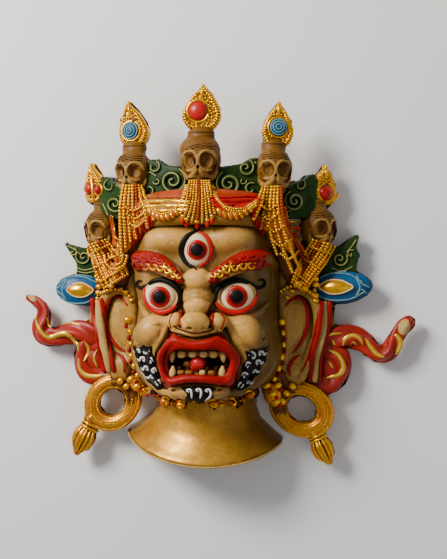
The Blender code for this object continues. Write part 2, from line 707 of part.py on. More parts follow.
def main():
    for obj in list(bpy.data.objects):
        bpy.data.objects.remove(obj)
    parts = collection("wrathful_mask")
    cutters = collection("cutters")

    mask = keep_in(parts, fused(joined(all_forms(), "mask"), SKIN_VOXEL, 3))
    one_body(baked(mask))
    baked(thinned(mask, SKIN_TRIANGLES))

    mouth = as_cutter(cutters, mouth_cutter())
    boolean(mask, mouth, "DIFFERENCE", "mouth")
    teeth = fused(joined(teeth_and_tongue(), "teeth"), 0.6 * U, 1)
    teeth = as_cutter(cutters, baked(thinned(teeth, TEETH_TRIANGLES)))
    boolean(mask, teeth, "UNION", "teeth")

    hollow = fused(joined(head_lumps(FACE_WALL) + [neck(NECK_WALL)], "hollow"), 3 * U, 4)
    hollow = as_cutter(cutters, baked(thinned(hollow, HOLLOW_TRIANGLES)))
    boolean(mask, hollow, "DIFFERENCE", "hollow")
    bpy.ops.mesh.primitive_cube_add(size=1, location=(0, 0, -0.3 * WIDTH))
    floor = as_cutter(cutters, bpy.context.object)
    floor.scale = (2 * WIDTH, 2 * WIDTH, 0.6 * WIDTH)
    boolean(mask, floor, "DIFFERENCE", "back_plane")

    one_body(baked(mask))
    set_on_origin(mask)
    mask.data.shade_smooth()
    mask.data.set_sharp_from_angle(angle=math.radians(50))
    paint(mask)


main()
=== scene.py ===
"""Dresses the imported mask: sculpted skin, skulls, beadwork, scarves and paint, all in the frame of the CAD.

Places are in millimetres about the face's midline and the back plane, as in the part's source,
and are moved by ORIGIN into the row frame. A place read off the photograph is given in its pixels
and is cast onto the form that carries it.
"""

import math

import bpy
import numpy as np
from mathutils import Matrix, Vector
from mathutils.bvhtree import BVHTree


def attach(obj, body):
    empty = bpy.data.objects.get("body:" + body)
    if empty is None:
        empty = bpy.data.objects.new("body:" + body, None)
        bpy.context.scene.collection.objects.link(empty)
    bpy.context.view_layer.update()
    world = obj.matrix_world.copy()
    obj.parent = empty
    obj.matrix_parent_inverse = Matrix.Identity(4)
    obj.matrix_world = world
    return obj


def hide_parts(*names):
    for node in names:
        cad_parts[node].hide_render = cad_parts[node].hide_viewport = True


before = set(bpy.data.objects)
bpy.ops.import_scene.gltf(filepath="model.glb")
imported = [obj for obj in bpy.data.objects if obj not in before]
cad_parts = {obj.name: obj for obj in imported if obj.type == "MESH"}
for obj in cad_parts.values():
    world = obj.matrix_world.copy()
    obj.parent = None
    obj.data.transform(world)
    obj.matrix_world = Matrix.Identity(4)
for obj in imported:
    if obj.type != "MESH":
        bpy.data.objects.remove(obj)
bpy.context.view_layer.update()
ORIGIN = np.array((-5.878, -2.707, 0.0))
SIDES = (-1, 1)

# The head, with the sizes of the part's source
VAULT = ((0, 8, 6), (64, 70, 74))
JAW = ((0, -50, 10), (58, 53, 74))
TEMPLE = ((28, 12, 14), (38, 56, 62))
JOWL = ((26, -48, 14), (38, 46, 64))
WAIST = ((0, -22, 8), (63, 58, 72))
FOREHEAD = ((0, 33, 30), (60, 24, 50))
MUZZLE = ((0, -67, 42), (46, 31, 47))
CAP = ((0, 52, 44), (60, 26, 32))
CORNER = ((34, -64, 20), (33, 31, 46))
EYE_AT = (30.5, -13.5, 70)
SKULL = 17.0
SKULLS = (((-0.9, 101, 60), 1.0, 0, 0), ((-61.2, 94, 46), 0.92, -12, 1), ((59.2, 94, 46), 0.92, 12, 1))
SKULLS += (((-93.8, 46, 22), 0.92, -36, 2), ((94.6, 46, 22), 0.92, 36, 2))
JEWEL = {0: (33, 40, 24), 1: (27, 40, 18.5), 2: (24, 36, 18)}
LEAF_STEP = {0: (0.6, 0), -12: (0.3, 1.4), -36: (-6.6, 3.4), 12: (3, -0.8), 36: (4.8, -0.6)}
RING_AT = {-1: (-86, -107.7, 17), 1: (80.8, -111.2, 17)}
RING_STRETCH = {-1: 1.16, 1: 1.22}
RING_TILT = {-1: 45, 1: -30}
RING_RADIUS = 17.4
RING_SECTION = {-1: 6.9, 1: 7.0}
BUD_LENGTH = {-1: 34.5, 1: 30.5}
BUD = {-1: 10.2, 1: 9.4}

# The photograph's camera: turned 7.5 degrees to the viewer's right, one metre off
YAW = math.radians(7.5)
PIXEL = 0.855
PHOTO_WIDTH = 447
CAMERA_AWAY = 1000
SENSOR = 36.0
VIEW_CENTRE = np.array((223.5, 279.5))
TOWARDS = np.array((math.sin(YAW), 0.0, math.cos(YAW)))
RIGHTWARDS = np.array((math.cos(YAW), 0.0, -math.sin(YAW)))
EYE_POINT = np.array((0.0, 0.0, 40.0)) + RIGHTWARDS * (18.1 * PIXEL) + np.array(
    (0, 0.5 * PIXEL, 0)
) + TOWARDS * CAMERA_AWAY


def ray_of(px, py):
    """The direction from the camera through a pixel."""
    across = RIGHTWARDS * ((px - VIEW_CENTRE[0]) * PIXEL)
    return across + np.array((0, (VIEW_CENTRE[1] - py) * PIXEL, 0)) - TOWARDS * 1000


def at_depth(px, py, z):
    """The point of the pixel's ray at a height above the back plane."""
    ray = ray_of(px, py)
    return EYE_POINT + ray * ((z - EYE_POINT[2]) / ray[2])


class Carrier:
    """A form that photographed places are cast onto."""

    def __init__(self, points, faces):
        self.tree = BVHTree.FromPolygons([Vector(p) for p in points], [tuple(f) for f in faces])

    def put(self, px, py, lift=0.0, fallback=20.0):
        ray = ray_of(px, py)
        ray = ray / np.linalg.norm(ray)
        hit, normal, _, _ = self.tree.ray_cast(Vector(EYE_POINT), Vector(ray))
        if hit is None:
            near, normal, _, _ = self.tree.find_nearest(Vector(at_depth(px, py, fallback)))
            return np.array(near) + np.array(normal) * lift
        return np.array(hit) + np.array(normal) * lift

    def path(self, pixels, lift=0.0, calm=0):
        """The cast places of a row of pixels; calm averages their heights along the row."""
        points = np.array([self.put(px, py) for px, py in pixels])
        for _ in range(calm):
            points[1:-1, 2] = (points[:-2, 2] + 2 * points[1:-1, 2] + points[2:, 2]) / 4
        points[:, 2] += lift
        return points


# Mesh making

def rotation(degrees):
    turns = [Matrix.Rotation(math.radians(a), 3, axis) for a, axis in zip(degrees, "XYZ")]
    return np.array(turns[2] @ turns[1] @ turns[0])


class Shape:
    """Points and faces gathered for one piece, with a value per point that its paint may read."""

    def __init__(self):
        self.points, self.faces, self.values, self.count = [], [], [], 0

    def add(self, points, faces, value=0.0):
        points = np.asarray(points, float)
        self.points.append(points)
        for group in (faces if isinstance(faces, list) else [faces]):
            self.faces.append(np.asarray(group, int) + self.count)
        self.values.append(np.broadcast_to(np.asarray(value, float), (len(points),)))
        self.count += len(points)
        return self

    def piece(self, name, material, smooth=True, sharp=None):
        points = (np.concatenate(self.points) + ORIGIN) * 0.001
        mesh = bpy.data.meshes.new(name)
        loops = np.concatenate([f.reshape(-1) for f in self.faces])
        sizes = np.concatenate([np.full(len(f), f.shape[1]) for f in self.faces])
        starts = np.concatenate([[0], np.cumsum(sizes)[:-1]])
        mesh.vertices.add(len(points))
        mesh.vertices.foreach_set("co", points.astype(np.float32).reshape(-1))
        mesh.loops.add(len(loops))
        mesh.loops.foreach_set("vertex_index", loops.astype(np.int32))
        mesh.polygons.add(len(sizes))
        mesh.polygons.foreach_set("loop_start", starts.astype(np.int32))
        mesh.update(calc_edges=True)
        tone = mesh.attributes.new("tone", "FLOAT", "POINT")
        tone.data.foreach_set("value", np.concatenate(self.values).astype(np.float32))
        mesh.validate()
        if smooth:
            mesh.shade_smooth()
        if sharp:
            mesh.set_sharp_from_angle(angle=math.radians(sharp))
        made = bpy.data.objects.new(name, mesh)
        bpy.context.scene.collection.objects.link(made)
        mesh.materials.append(material)
        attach(made, "root")
        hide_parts("mask")
        return made

    def whole(self):
        return np.concatenate(self.points), [tuple(f) for group in self.faces for f in group]


def smooth_path(points, count, closed=False):
    """Points evenly spaced along a smooth curve through the points given (of any dimension)."""
    p = np.asarray(points, float)
    if closed:
        p = np.vstack([p[-1], p, p[0], p[1]])
    else:
        p = np.vstack([2 * p[0] - p[1], p, 2 * p[-1] - p[-2]])
    t = np.linspace(0, 1, 17)[:-1, None]
    curve = []
    for a, b, c, d in zip(p, p[1:], p[2:], p[3:]):
        curve.append(
            0.5 * (
                2 * b + (c - a) * t + (2 * a - 5 * b + 4 * c - d) * t**2 + (3 * b - a - 3 * c + d) * t**3
            )
        )
    curve = np.vstack(curve + [p[-2:-1]])
    run = np.concatenate([[0], np.cumsum(np.linalg.norm(np.diff(curve[:, :3], axis=0), axis=1))])
    want = np.linspace(0, run[-1], count + (1 if closed else 0))
    if closed:
        want = want[:-1]
    return np.stack([np.interp(want, run, curve[:, i]) for i in range(curve.shape[1])], axis=1)


def length_of(points):
    return float(np.linalg.norm(np.diff(np.asarray(points, float)[:, :3], axis=0), axis=1).sum())


def tube(points, radius, sides=10, closed=False, flat=1.0, ends=True, step=None, lobes=0, twist=0.0):
    """A rod of round or flattened section; radius is one number or one per point."""
    points = np.asarray(points, float)
    sizes = np.broadcast_to(np.asarray(radius, float), (len(points),))
    step = step or max(0.8, float(sizes.mean()) * 0.8)
    count = max(4, int(length_of(points) / step))
    rich = smooth_path(np.column_stack([points, sizes]), count, closed)
    line, sizes = rich[:, :3], np.maximum(rich[:, 3], 0.05)
    if closed:
        along = np.roll(line, -1, 0) - np.roll(line, 1, 0)
    else:
        along = np.gradient(line, axis=0)
    along /= np.maximum(np.linalg.norm(along, axis=1), 1e-9)[:, None]
    up = np.tile((0.0, 0.0, 1.0), (len(line), 1))
    up -= along * (up * along).sum(1)[:, None]
    weak = np.linalg.norm(up, axis=1) < 0.25
    up[weak] = np.array((0.0, 1.0, 0.0)) - along[weak] * along[weak][:, 1:2]
    up /= np.linalg.norm(up, axis=1)[:, None]
    side = np.cross(along, up)
    if ends and not closed:
        head = [line[0] - along[0] * sizes[0] * f for f in (0.85, 0.5)]
        tail = [line[-1] + along[-1] * sizes[-1] * f for f in (0.5, 0.85)]
        line = np.vstack([head, line, tail])
        up = np.vstack([up[:1], up[:1], up, up[-1:], up[-1:]])
        side = np.vstack([side[:1], side[:1], side, side[-1:], side[-1:]])
        sizes = np.concatenate(
            [[sizes[0] * 0.5, sizes[0] * 0.86], sizes, [sizes[-1] * 0.86, sizes[-1] * 0.5]]
        )
    angle = np.arange(sides) * 2 * math.pi / sides
    rows = np.arange(len(line))[:, None]
    turn = angle[None, :] + twist * rows
    swell = 1 + (0.16 * np.cos(lobes * (angle[None, :] + 0 * rows)) if lobes else 0)
    ring = line[:, None, :] + (sizes[:, None] * np.cos(turn) * swell)[..., None] * side[:, None, :]
    ring = ring + (flat * sizes[:, None] * np.sin(turn) * swell)[..., None] * up[:, None, :]
    n = len(line)
    i, j = np.meshgrid(np.arange(n if closed else n - 1), np.arange(sides), indexing="ij")
    a = i * sides + j
    b = i * sides + (j + 1) % sides
    c = ((i + 1) % n) * sides + (j + 1) % sides
    d = ((i + 1) % n) * sides + j
    quads = np.stack([a, d, c, b], -1).reshape(-1, 4)
    faces = [quads]
    if not closed:
        faces += [np.arange(sides)[None, :], ((n - 1) * sides + np.arange(sides)[::-1])[None, :]]
    return ring.reshape(-1, 3), faces


def ball(rows=6, around=8):
    """A unit ball as points, triangles and quads."""
    polar = np.linspace(0, math.pi, rows + 1)[1:-1]
    turn = np.arange(around) * 2 * math.pi / around
    body = np.array(
        [(math.sin(p) * math.cos(t), math.sin(p) * math.sin(t), math.cos(p)) for p in polar for t in turn]
    )
    points = np.vstack([(0, 0, 1), body, (0, 0, -1)])
    j = np.arange(around)
    k = (j + 1) % around
    top = np.stack([0 * j, 1 + j, 1 + k], -1)
    quads = []
    for i in range(rows - 2):
        low, high = 1 + i * around, 1 + (i + 1) * around
        quads.append(np.stack([low + j, high + j, high + k, low + k], -1))
    last = 1 + (rows - 2) * around
    bottom = np.stack([0 * j + len(points) - 1, last + k, last + j], -1)
    return points, [top, np.concatenate(quads), bottom]


SMALL, ROUND = ball(5, 7), ball(14, 24)


def beads(shape, points, radius, gap=1.9, squash=1.0, value=0.0, form=SMALL):
    """A string of beads along a smooth path."""
    count = max(2, int(length_of(smooth_path(points, 40)) / (radius * gap)))
    for place in smooth_path(points, count):
        shape.add(form[0] * (radius, radius, radius * squash) + place, form[1], value)


def lump(shape, centre, radii, turn=(0, 0, 0), form=ROUND, value=0.0):
    shape.add((form[0] * radii) @ rotation(turn).T + centre, form[1], value)


def loft(rows, closed=True, caps=True):
    """Quads over rows of equally many points."""
    rows = np.asarray(rows, float)
    n, m = rows.shape[:2]
    i, j = np.meshgrid(np.arange(n - 1), np.arange(m if closed else m - 1), indexing="ij")
    a, b = i * m + j, i * m + (j + 1) % m
    quads = np.stack([a, b, b + m, a + m], -1).reshape(-1, 4)
    faces = [quads]
    if caps:
        faces += [np.arange(m)[::-1][None, :], ((n - 1) * m + np.arange(m))[None, :]]
    return rows.reshape(-1, 3), faces


def slab(outline, low, high, dome=0.0, soft=1.2):
    """A plate with a soft front edge over a flat outline, which may be domed."""
    outline = ccw(outline)
    middle = outline.mean(0)
    rows = []
    for share, level in ((1.0, low), (1.0, high - soft), (0.985, high - 0.4 * soft), (0.95, high)):
        flat = middle + (outline - middle) * share
        rows.append(np.column_stack([flat, np.full(len(flat), level)]))
    for share in (0.86, 0.72, 0.56, 0.38, 0.2, 0.05):
        flat = middle + (outline - middle) * share
        rows.append(np.column_stack([flat, np.full(len(flat), high + dome * (1 - share**2))]))
    return loft(rows)


def turned(points, at, turn):
    """Local points (x right, y up, z out) turned about the upright axis and moved to their place."""
    return np.asarray(points, float) @ rotation((0, turn, 0)).T + np.asarray(at, float)


# Clay: forms melted into one skin on a grid of distances

class Clay:
    def __init__(self, low, high, step):
        self.low, self.step = np.array(low, float), step
        self.size = np.ceil((np.array(high) - self.low) / step).astype(int) + 1
        self.phi = np.full(self.size, 30.0, np.float32)

    def window(self, low, high):
        first = np.clip(np.floor((np.array(low) - self.low) / self.step).astype(int), 0, self.size)
        last = np.clip(np.ceil((np.array(high) - self.low) / self.step).astype(int) + 1, 0, self.size)
        cut = tuple(slice(a, b) for a, b in zip(first, last))
        grids = [
            (self.low[i] + np.arange(first[i], last[i]) * self.step).astype(np.float32) for i in range(3)
        ]
        return cut, np.meshgrid(*grids, indexing="ij", sparse=True)

    def melt(self, cut, distance, blend, remove):
        held = self.phi[cut]
        if held.size == 0:
            return
        sign = -1 if remove else 1
        a, b = sign * held, distance
        mix = np.clip(0.5 + 0.5 * (b - a) / max(blend, 0.01), 0, 1)
        self.phi[cut] = sign * (b * (1 - mix) + a * mix - blend * mix * (1 - mix))

    def egg(self, centre, radii, turn=(0, 0, 0), blend=3.0, remove=False):
        """An ellipsoid melted on, or carved out."""
        radii = np.array(radii, float)
        reach = radii.max() + blend + 2
        cut, (x, y, z) = self.window(np.array(centre) - reach, np.array(centre) + reach)
        turns = rotation(turn)
        x, y, z = x - centre[0], y - centre[1], z - centre[2]
        u, v, w = (turns[0, i] * x + turns[1, i] * y + turns[2, i] * z for i in range(3))
        near = np.sqrt((u / radii[0]) ** 2 + (v / radii[1]) ** 2 + (w / radii[2]) ** 2)
        steep = np.sqrt((u / radii[0] ** 2) ** 2 + (v / radii[1] ** 2) ** 2 + (w / radii[2] ** 2) ** 2)
        distance = (near * (near - 1) / np.maximum(steep, 1e-6)).astype(np.float32)
        self.melt(cut, distance, blend, remove)

    def rod(self, points, radius, blend=2.0, remove=False, closed=False):
        """A round stroke through the points melted on, or carved out."""
        points = np.asarray(points, float)
        sizes = np.broadcast_to(np.asarray(radius, float), (len(points),))
        rich = np.column_stack([points, sizes])
        count = max(4, int(length_of(points) / 3))
        rich = smooth_path(rich, count, closed)
        if closed:
            rich = np.vstack([rich, rich[:1]])
        reach = rich[:, 3].max() + blend + 2
        cut, (x, y, z) = self.window(rich[:, :3].min(0) - reach, rich[:, :3].max(0) + reach)
        distance = np.full(self.phi[cut].shape, 30.0, np.float32)
        for a, b in zip(rich, rich[1:]):
            along = b[:3] - a[:3]
            square = max(float(along @ along), 1e-6)
            u, v, w = x - a[0], y - a[1], z - a[2]
            share = np.clip((u * along[0] + v * along[1] + w * along[2]) / square, 0, 1)
            u, v, w = u - share * along[0], v - share * along[1], w - share * along[2]
            reachable = np.sqrt(u * u + v * v + w * w) - (a[3] + share * (b[3] - a[3]))
            np.minimum(distance, reachable, out=distance)
        self.melt(cut, distance, blend, remove)

    def top(self):
        """The height of the skin over each place of the grid."""
        inside = self.phi < 0
        last = self.size[2] - 1 - np.argmax(inside[:, :, ::-1], axis=2)
        last = np.minimum(last, self.size[2] - 2)
        i, j = np.ogrid[: self.size[0], : self.size[1]]
        a, b = self.phi[i, j, last], self.phi[i, j, last + 1]
        self.relief = self.low[2] + (last + np.clip(a / (a - b + 1e-9), 0, 1)) * self.step

    def height(self, x, y):
        i = int(np.clip(round((x - self.low[0]) / self.step), 0, self.size[0] - 1))
        j = int(np.clip(round((y - self.low[1]) / self.step), 0, self.size[1] - 1))
        return float(self.relief[i, j])

    def put(self, px, py, lift=0.0):
        """The skin's place under a pixel of the photograph."""
        z = 75.0
        for _ in range(6):
            x, y, _ = at_depth(px, py, z)
            z = 0.5 * z + 0.5 * self.height(x, y)
        return np.array((x, y, z + lift))

    def path(self, pixels, lift=0.0):
        return np.array([self.put(px, py, lift) for px, py in pixels])

    def skin(self):
        """The zero surface as points and quads, one point in each cell that it crosses."""
        phi, inside = self.phi, self.phi < 0
        n = self.size - 1
        mixed = np.zeros(n, bool)
        first = inside[:-1, :-1, :-1]
        for dx in (0, 1):
            for dy in (0, 1):
                for dz in (0, 1):
                    mixed |= inside[dx : dx + n[0], dy : dy + n[1], dz : dz + n[2]] != first
        cells = np.argwhere(mixed)
        index = np.full(n, -1, np.int64)
        index[tuple(cells.T)] = np.arange(len(cells))
        total, hits = np.zeros((len(cells), 3)), np.zeros(len(cells))
        for axis in range(3):
            others = [k for k in range(3) if k != axis]
            for p in (0, 1):
                for q in (0, 1):
                    start = cells.copy()
                    start[:, others[0]] += p
                    start[:, others[1]] += q
                    end = start.copy()
                    end[:, axis] += 1
                    a, b = phi[tuple(start.T)], phi[tuple(end.T)]
                    cross = (a < 0) != (b < 0)
                    share = np.where(cross, a / np.where(cross, a - b, 1), 0)
                    place = start.astype(float)
                    place[:, axis] += share
                    total[cross] += place[cross]
                    hits[cross] += 1
        points = total / np.maximum(hits, 1)[:, None]
        quads = []
        for axis in range(3):
            u, v = [k for k in range(3) if k != axis]
            low = [slice(None)] * 3
            high = [slice(None)] * 3
            low[axis], high[axis] = slice(0, -1), slice(1, None)
            a, b = inside[tuple(low)], inside[tuple(high)]
            edges = np.argwhere(a != b)
            keep = (edges[:, u] > 0) & (edges[:, v] > 0) & (edges[:, u] < n[u]) & (edges[:, v] < n[v])
            edges = edges[keep]
            solid_first = a[tuple(edges.T)]
            corners = []
            for p, q in ((0, 0), (1, 0), (1, 1), (0, 1)):
                cell = edges.copy()
                cell[:, u] -= p
                cell[:, v] -= q
                corners.append(index[tuple(cell.T)])
            quad = np.stack(corners, -1)
            flip = solid_first if axis != 1 else ~solid_first
            quad[~flip] = quad[~flip][:, ::-1]
            quads.append(quad)
        quads = np.concatenate(quads)
        quads = quads[(quads >= 0).all(1)]
        return self.low + points * self.step, quads, points

    def hollows(self, points, reach):
        """How far each surface point lies in a hollow (over 0) or on a ridge (under 0) of this reach."""
        wide = max(1, int(round(reach / self.step)))
        soft = self.phi.clip(-reach * 2, reach * 2)
        for axis in range(3):
            run = np.cumsum(soft, axis=axis, dtype=np.float64)
            run = np.concatenate([np.zeros_like(run.take([0], axis)), run], axis=axis)
            count = soft.shape[axis]
            low = np.clip(np.arange(count) - wide, 0, count)
            high = np.clip(np.arange(count) + wide + 1, 0, count)
            share = [1, 1, 1]
            share[axis] = count
            soft = (run.take(high, axis) - run.take(low, axis)) / (high - low).reshape(share)
        near = np.clip(np.round(points).astype(int), 0, self.size - 1)
        return -soft[tuple(near.T)] / reach


# Paints

class Paint:
    """Builds one node material: two mixed tones, darker recesses (a wash with painted shade), varied gloss
    and fine relief.
    """

    def __init__(self, name):
        self.material = bpy.data.materials.new(name)
        self.material.use_nodes = True
        self.tree = self.material.node_tree
        self.shader = self.tree.nodes["Principled BSDF"]
        self.place = self.node("ShaderNodeTexCoord").outputs["Object"]

    def node(self, kind, **values):
        made = self.tree.nodes.new(kind)
        for key, value in values.items():
            if key in made.inputs:
                made.inputs[key].default_value = value
            else:
                setattr(made, key, value)
        return made

    def link(self, a, b):
        self.tree.links.new(a, b)

    def noise(self, scale, detail=3.0, rough=0.55):
        made = self.node("ShaderNodeTexNoise", Scale=scale, Detail=detail, Roughness=rough)
        self.link(self.place, made.inputs["Vector"])
        return made.outputs["Fac"]

    def ramp(self, value, low, high, out_low=0.0, out_high=1.0):
        made = self.node("ShaderNodeMapRange")
        made.inputs["From Min"].default_value = low
        made.inputs["From Max"].default_value = high
        made.inputs["To Min"].default_value = out_low
        made.inputs["To Max"].default_value = out_high
        self.link(value, made.inputs["Value"])
        return made.outputs["Result"]

    def mix(self, share, a, b):
        made = self.tree.nodes.new("ShaderNodeMix")
        made.data_type = "RGBA"
        self.link(share, made.inputs[0])
        for end, value in ((6, a), (7, b)):
            if isinstance(value, tuple):
                made.inputs[end].default_value = (*value, 1.0)
            else:
                self.link(value, made.inputs[end])
        return made.outputs[2]

    def math(self, kind, a, b):
        made = self.tree.nodes.new("ShaderNodeMath")
        made.operation = kind
        made.use_clamp = True
        for end, value in ((0, a), (1, b)):
            if isinstance(value, (int, float)):
                made.inputs[end].default_value = value
            else:
                self.link(value, made.inputs[end])
        return made.outputs[0]


def paint(
    name, base, other, shade, rough=0.46, metal=0.0, coat=0.0, gloss=0.22, crowd=4.0, wash_and_shade=0.8, bump=0.2,
    grain=900.0, worn=None
):
    """crowd is how far, in millimetres, the recess darkening (partly wash, partly painted shade) looks for
    neighbours.
    """
    p = Paint(name)
    colour = p.mix(p.ramp(p.noise(55.0), 0.35, 0.68), base, other)
    colour = p.mix(p.ramp(p.noise(420.0, 4.0), 0.5, 0.78, 0.0, 0.45), colour, shade)
    # Recess darkening from ambient occlusion: partly the real wash, partly painted shade.
    near = p.node("ShaderNodeAmbientOcclusion", samples=8)
    near.inputs["Distance"].default_value = crowd * 0.001
    recess = p.ramp(near.outputs["AO"], 0.35, 0.92, wash_and_shade, 0.0)
    # The per-point tone darkens towards the shade colour. It carries painted shade on the face, neck and
    # ears, and the wash with painted shade in hollows.
    tone = p.node("ShaderNodeAttribute", attribute_name="tone").outputs["Fac"]
    colour = p.mix(p.math("MAXIMUM", recess, tone), colour, shade)
    if worn:
        specks = p.ramp(p.noise(700.0, 5.0, 0.7), 0.66, 0.72, 0.0, 0.75)
        colour = p.mix(specks, colour, worn)
    p.link(colour, p.shader.inputs["Base Color"])
    p.link(p.ramp(p.noise(160.0), 0.3, 0.7, rough - 0.08, rough + 0.12), p.shader.inputs["Roughness"])
    p.shader.inputs["Metallic"].default_value = metal
    p.shader.inputs["Specular IOR Level"].default_value = gloss
    p.shader.inputs["Coat Weight"].default_value = coat
    p.shader.inputs["Coat Roughness"].default_value = 0.18
    relief = p.node("ShaderNodeBump", Strength=bump, Distance=0.0004)
    p.link(p.noise(grain, 4.0), relief.inputs["Height"])
    p.link(relief.outputs["Normal"], p.shader.inputs["Normal"])
    return p.material


SKIN = paint(
    "skin", (0.80, 0.42, 0.10), (0.70, 0.35, 0.065), (0.085, 0.042, 0.0015), 0.42, coat=0.06, gloss=0.26,
    crowd=7.0, wash_and_shade=0.85, worn=(0.22, 0.11, 0.015)
)
EAR_SKIN = paint(
    "ear_skin", (0.52, 0.27, 0.045), (0.40, 0.20, 0.026), (0.03, 0.015, 0.001), 0.44, coat=0.06, gloss=0.3,
    crowd=5.0
)
SHADOW = paint("shadow", (0.20, 0.065, 0.006), (0.14, 0.042, 0.004), (0.02, 0.006, 0.001), 0.55, crowd=6.0)
GOLD = paint(
    "gold", (1.0, 0.54, 0.012), (0.95, 0.42, 0.006), (0.24, 0.035, 0.001), 0.25, metal=0.82, gloss=0.5,
    crowd=1.7, wash_and_shade=0.8, worn=(0.45, 0.09, 0.002)
)
PALE_GOLD = paint(
    "pale_gold", (0.66, 0.47, 0.09), (0.55, 0.36, 0.05), (0.2, 0.10, 0.01), 0.4, metal=0.1, gloss=0.3,
    crowd=1.0, wash_and_shade=0.35
)
RED = paint(
    "red", (0.40, 0.003, 0.0015), (0.27, 0.002, 0.001), (0.04, 0.0008, 0.0004), 0.42, coat=0.04, gloss=0.16,
    crowd=4.0, wash_and_shade=0.85, worn=(0.28, 0.03, 0.003)
)
DEEP_RED = paint(
    "deep_red", (0.38, 0.004, 0.003), (0.24, 0.003, 0.002), (0.03, 0.001, 0.0005), 0.34, coat=0.06,
    gloss=0.3, crowd=3.0
)
SKULL_PAINT = paint(
    "skull_paint", (0.22, 0.096, 0.010), (0.155, 0.062, 0.005), (0.018, 0.006, 0.001), 0.46, gloss=0.2,
    crowd=3.5, wash_and_shade=0.92, worn=(0.36, 0.18, 0.02)
)
GREEN = paint(
    "green", (0.010, 0.040, 0.006), (0.020, 0.050, 0.005), (0.003, 0.008, 0.001), 0.42, gloss=0.15,
    crowd=3.0, worn=(0.07, 0.09, 0.01)
)
BLUE = paint(
    "blue", (0.004, 0.070, 0.19), (0.008, 0.10, 0.24), (0.002, 0.010, 0.03), 0.38, coat=0.04, gloss=0.2,
    crowd=3.0
)
PALE_BLUE = paint(
    "pale_blue", (0.20, 0.36, 0.40), (0.12, 0.26, 0.32), (0.02, 0.08, 0.12), 0.42, gloss=0.2, crowd=2.0
)
BLACK = paint(
    "black", (0.0035, 0.003, 0.003), (0.006, 0.004, 0.003), (0.001, 0.001, 0.001), 0.5, gloss=0.12,
    crowd=3.0
)
CREAM = paint(
    "cream", (0.86, 0.64, 0.30), (0.78, 0.54, 0.22), (0.3, 0.14, 0.03), 0.4, coat=0.1, gloss=0.25,
    crowd=2.5, wash_and_shade=0.6
)
BRONZE = paint(
    "bronze", (0.85, 0.38, 0.018), (0.60, 0.20, 0.008), (0.07, 0.014, 0.001), 0.3, metal=0.7, gloss=0.5,
    crowd=3.4, wash_and_shade=0.95, worn=(0.25, 0.03, 0.003)
)
TAN_CLOTH = paint(
    "tan_cloth", (0.36, 0.18, 0.024), (0.28, 0.13, 0.014), (0.06, 0.022, 0.002), 0.5, gloss=0.2, crowd=4.0
)
ORANGE = paint(
    "orange", (0.46, 0.055, 0.001), (0.33, 0.028, 0.0008), (0.07, 0.005, 0.0004), 0.42, gloss=0.2, crowd=4.0
)
TONGUE = paint(
    "tongue_paint", (0.62, 0.010, 0.010), (0.46, 0.007, 0.006), (0.06, 0.001, 0.001), 0.28, coat=0.25,
    gloss=0.35, crowd=3.0
)
IRIS = paint(
    "iris_paint", (0.20, 0.004, 0.004), (0.14, 0.003, 0.003), (0.04, 0.001, 0.001), 0.34, coat=0.05,
    crowd=1.5
)

GILT = paint(
    "gilt_ground", (0.80, 0.27, 0.003), (0.52, 0.10, 0.002), (0.13, 0.012, 0.0005), 0.32, metal=0.6,
    gloss=0.4, crowd=2.0, wash_and_shade=0.75
)
TOOTH_PAINT = paint(
    "tooth_paint", (0.72, 0.46, 0.16), (0.58, 0.34, 0.09), (0.12, 0.045, 0.006), 0.36, coat=0.08,
    gloss=0.25, crowd=2.5, wash_and_shade=0.85
)
SPARK = paint(
    "spark_paint", (0.86, 0.84, 0.80), (0.72, 0.71, 0.68), (0.2, 0.18, 0.15), 0.3, coat=0.1, crowd=1.2
)
BRIGHT_RED = paint(
    "bright_red", (0.56, 0.005, 0.003), (0.44, 0.004, 0.002), (0.12, 0.001, 0.0006), 0.4, coat=0.04,
    gloss=0.16, crowd=1.5, wash_and_shade=0.4
)
BONE = paint(
    "bone_ridge", (0.40, 0.22, 0.05), (0.32, 0.165, 0.03), (0.08, 0.03, 0.004), 0.46, gloss=0.2, crowd=2.0,
    wash_and_shade=0.7
)
EYE_WHITE = paint(
    "eye_white", (0.93, 0.76, 0.47), (0.88, 0.69, 0.38), (0.45, 0.22, 0.07), 0.34, coat=0.1, gloss=0.25,
    crowd=2.5, wash_and_shade=0.5
)
GUM = paint(
    "gum_paint", (0.32, 0.11, 0.012), (0.22, 0.07, 0.008), (0.03, 0.008, 0.001), 0.4, coat=0.06, crowd=2.5,
    wash_and_shade=0.9
)
NECK_SKIN = paint(
    "neck_skin", (0.66, 0.33, 0.03), (0.50, 0.235, 0.016), (0.065, 0.026, 0.001), 0.36, metal=0.45,
    gloss=0.4, crowd=8.0, wash_and_shade=0.85, worn=(0.2, 0.085, 0.006)
)
RIM_TAN = paint(
    "rim_tan", (0.55, 0.36, 0.12), (0.44, 0.26, 0.07), (0.12, 0.05, 0.006), 0.5, gloss=0.2, crowd=2.0,
    wash_and_shade=0.6
)
STONE_RED = paint(
    "stone_red", (0.52, 0.006, 0.006), (0.40, 0.004, 0.004), (0.08, 0.001, 0.001), 0.32, coat=0.12,
    gloss=0.3, crowd=2.0, wash_and_shade=0.6
)
SCARF_RED = paint(
    "scarf_red", (0.40, 0.012, 0.004), (0.28, 0.009, 0.003), (0.05, 0.002, 0.0005), 0.4, coat=0.05,
    gloss=0.3, crowd=5.0, wash_and_shade=0.9, worn=(0.45, 0.14, 0.01)
)
SHADOW_LINE = paint(
    "shadow_line", (0.045, 0.018, 0.002), (0.03, 0.012, 0.002), (0.01, 0.004, 0.001), 0.55, gloss=0.15,
    crowd=2.0
)
LEAF_GOLD = paint(
    "leaf_gold", (0.36, 0.34, 0.10), (0.24, 0.25, 0.06), (0.06, 0.06, 0.01), 0.42, metal=0.2, gloss=0.3,
    crowd=1.0, wash_and_shade=0.3
)
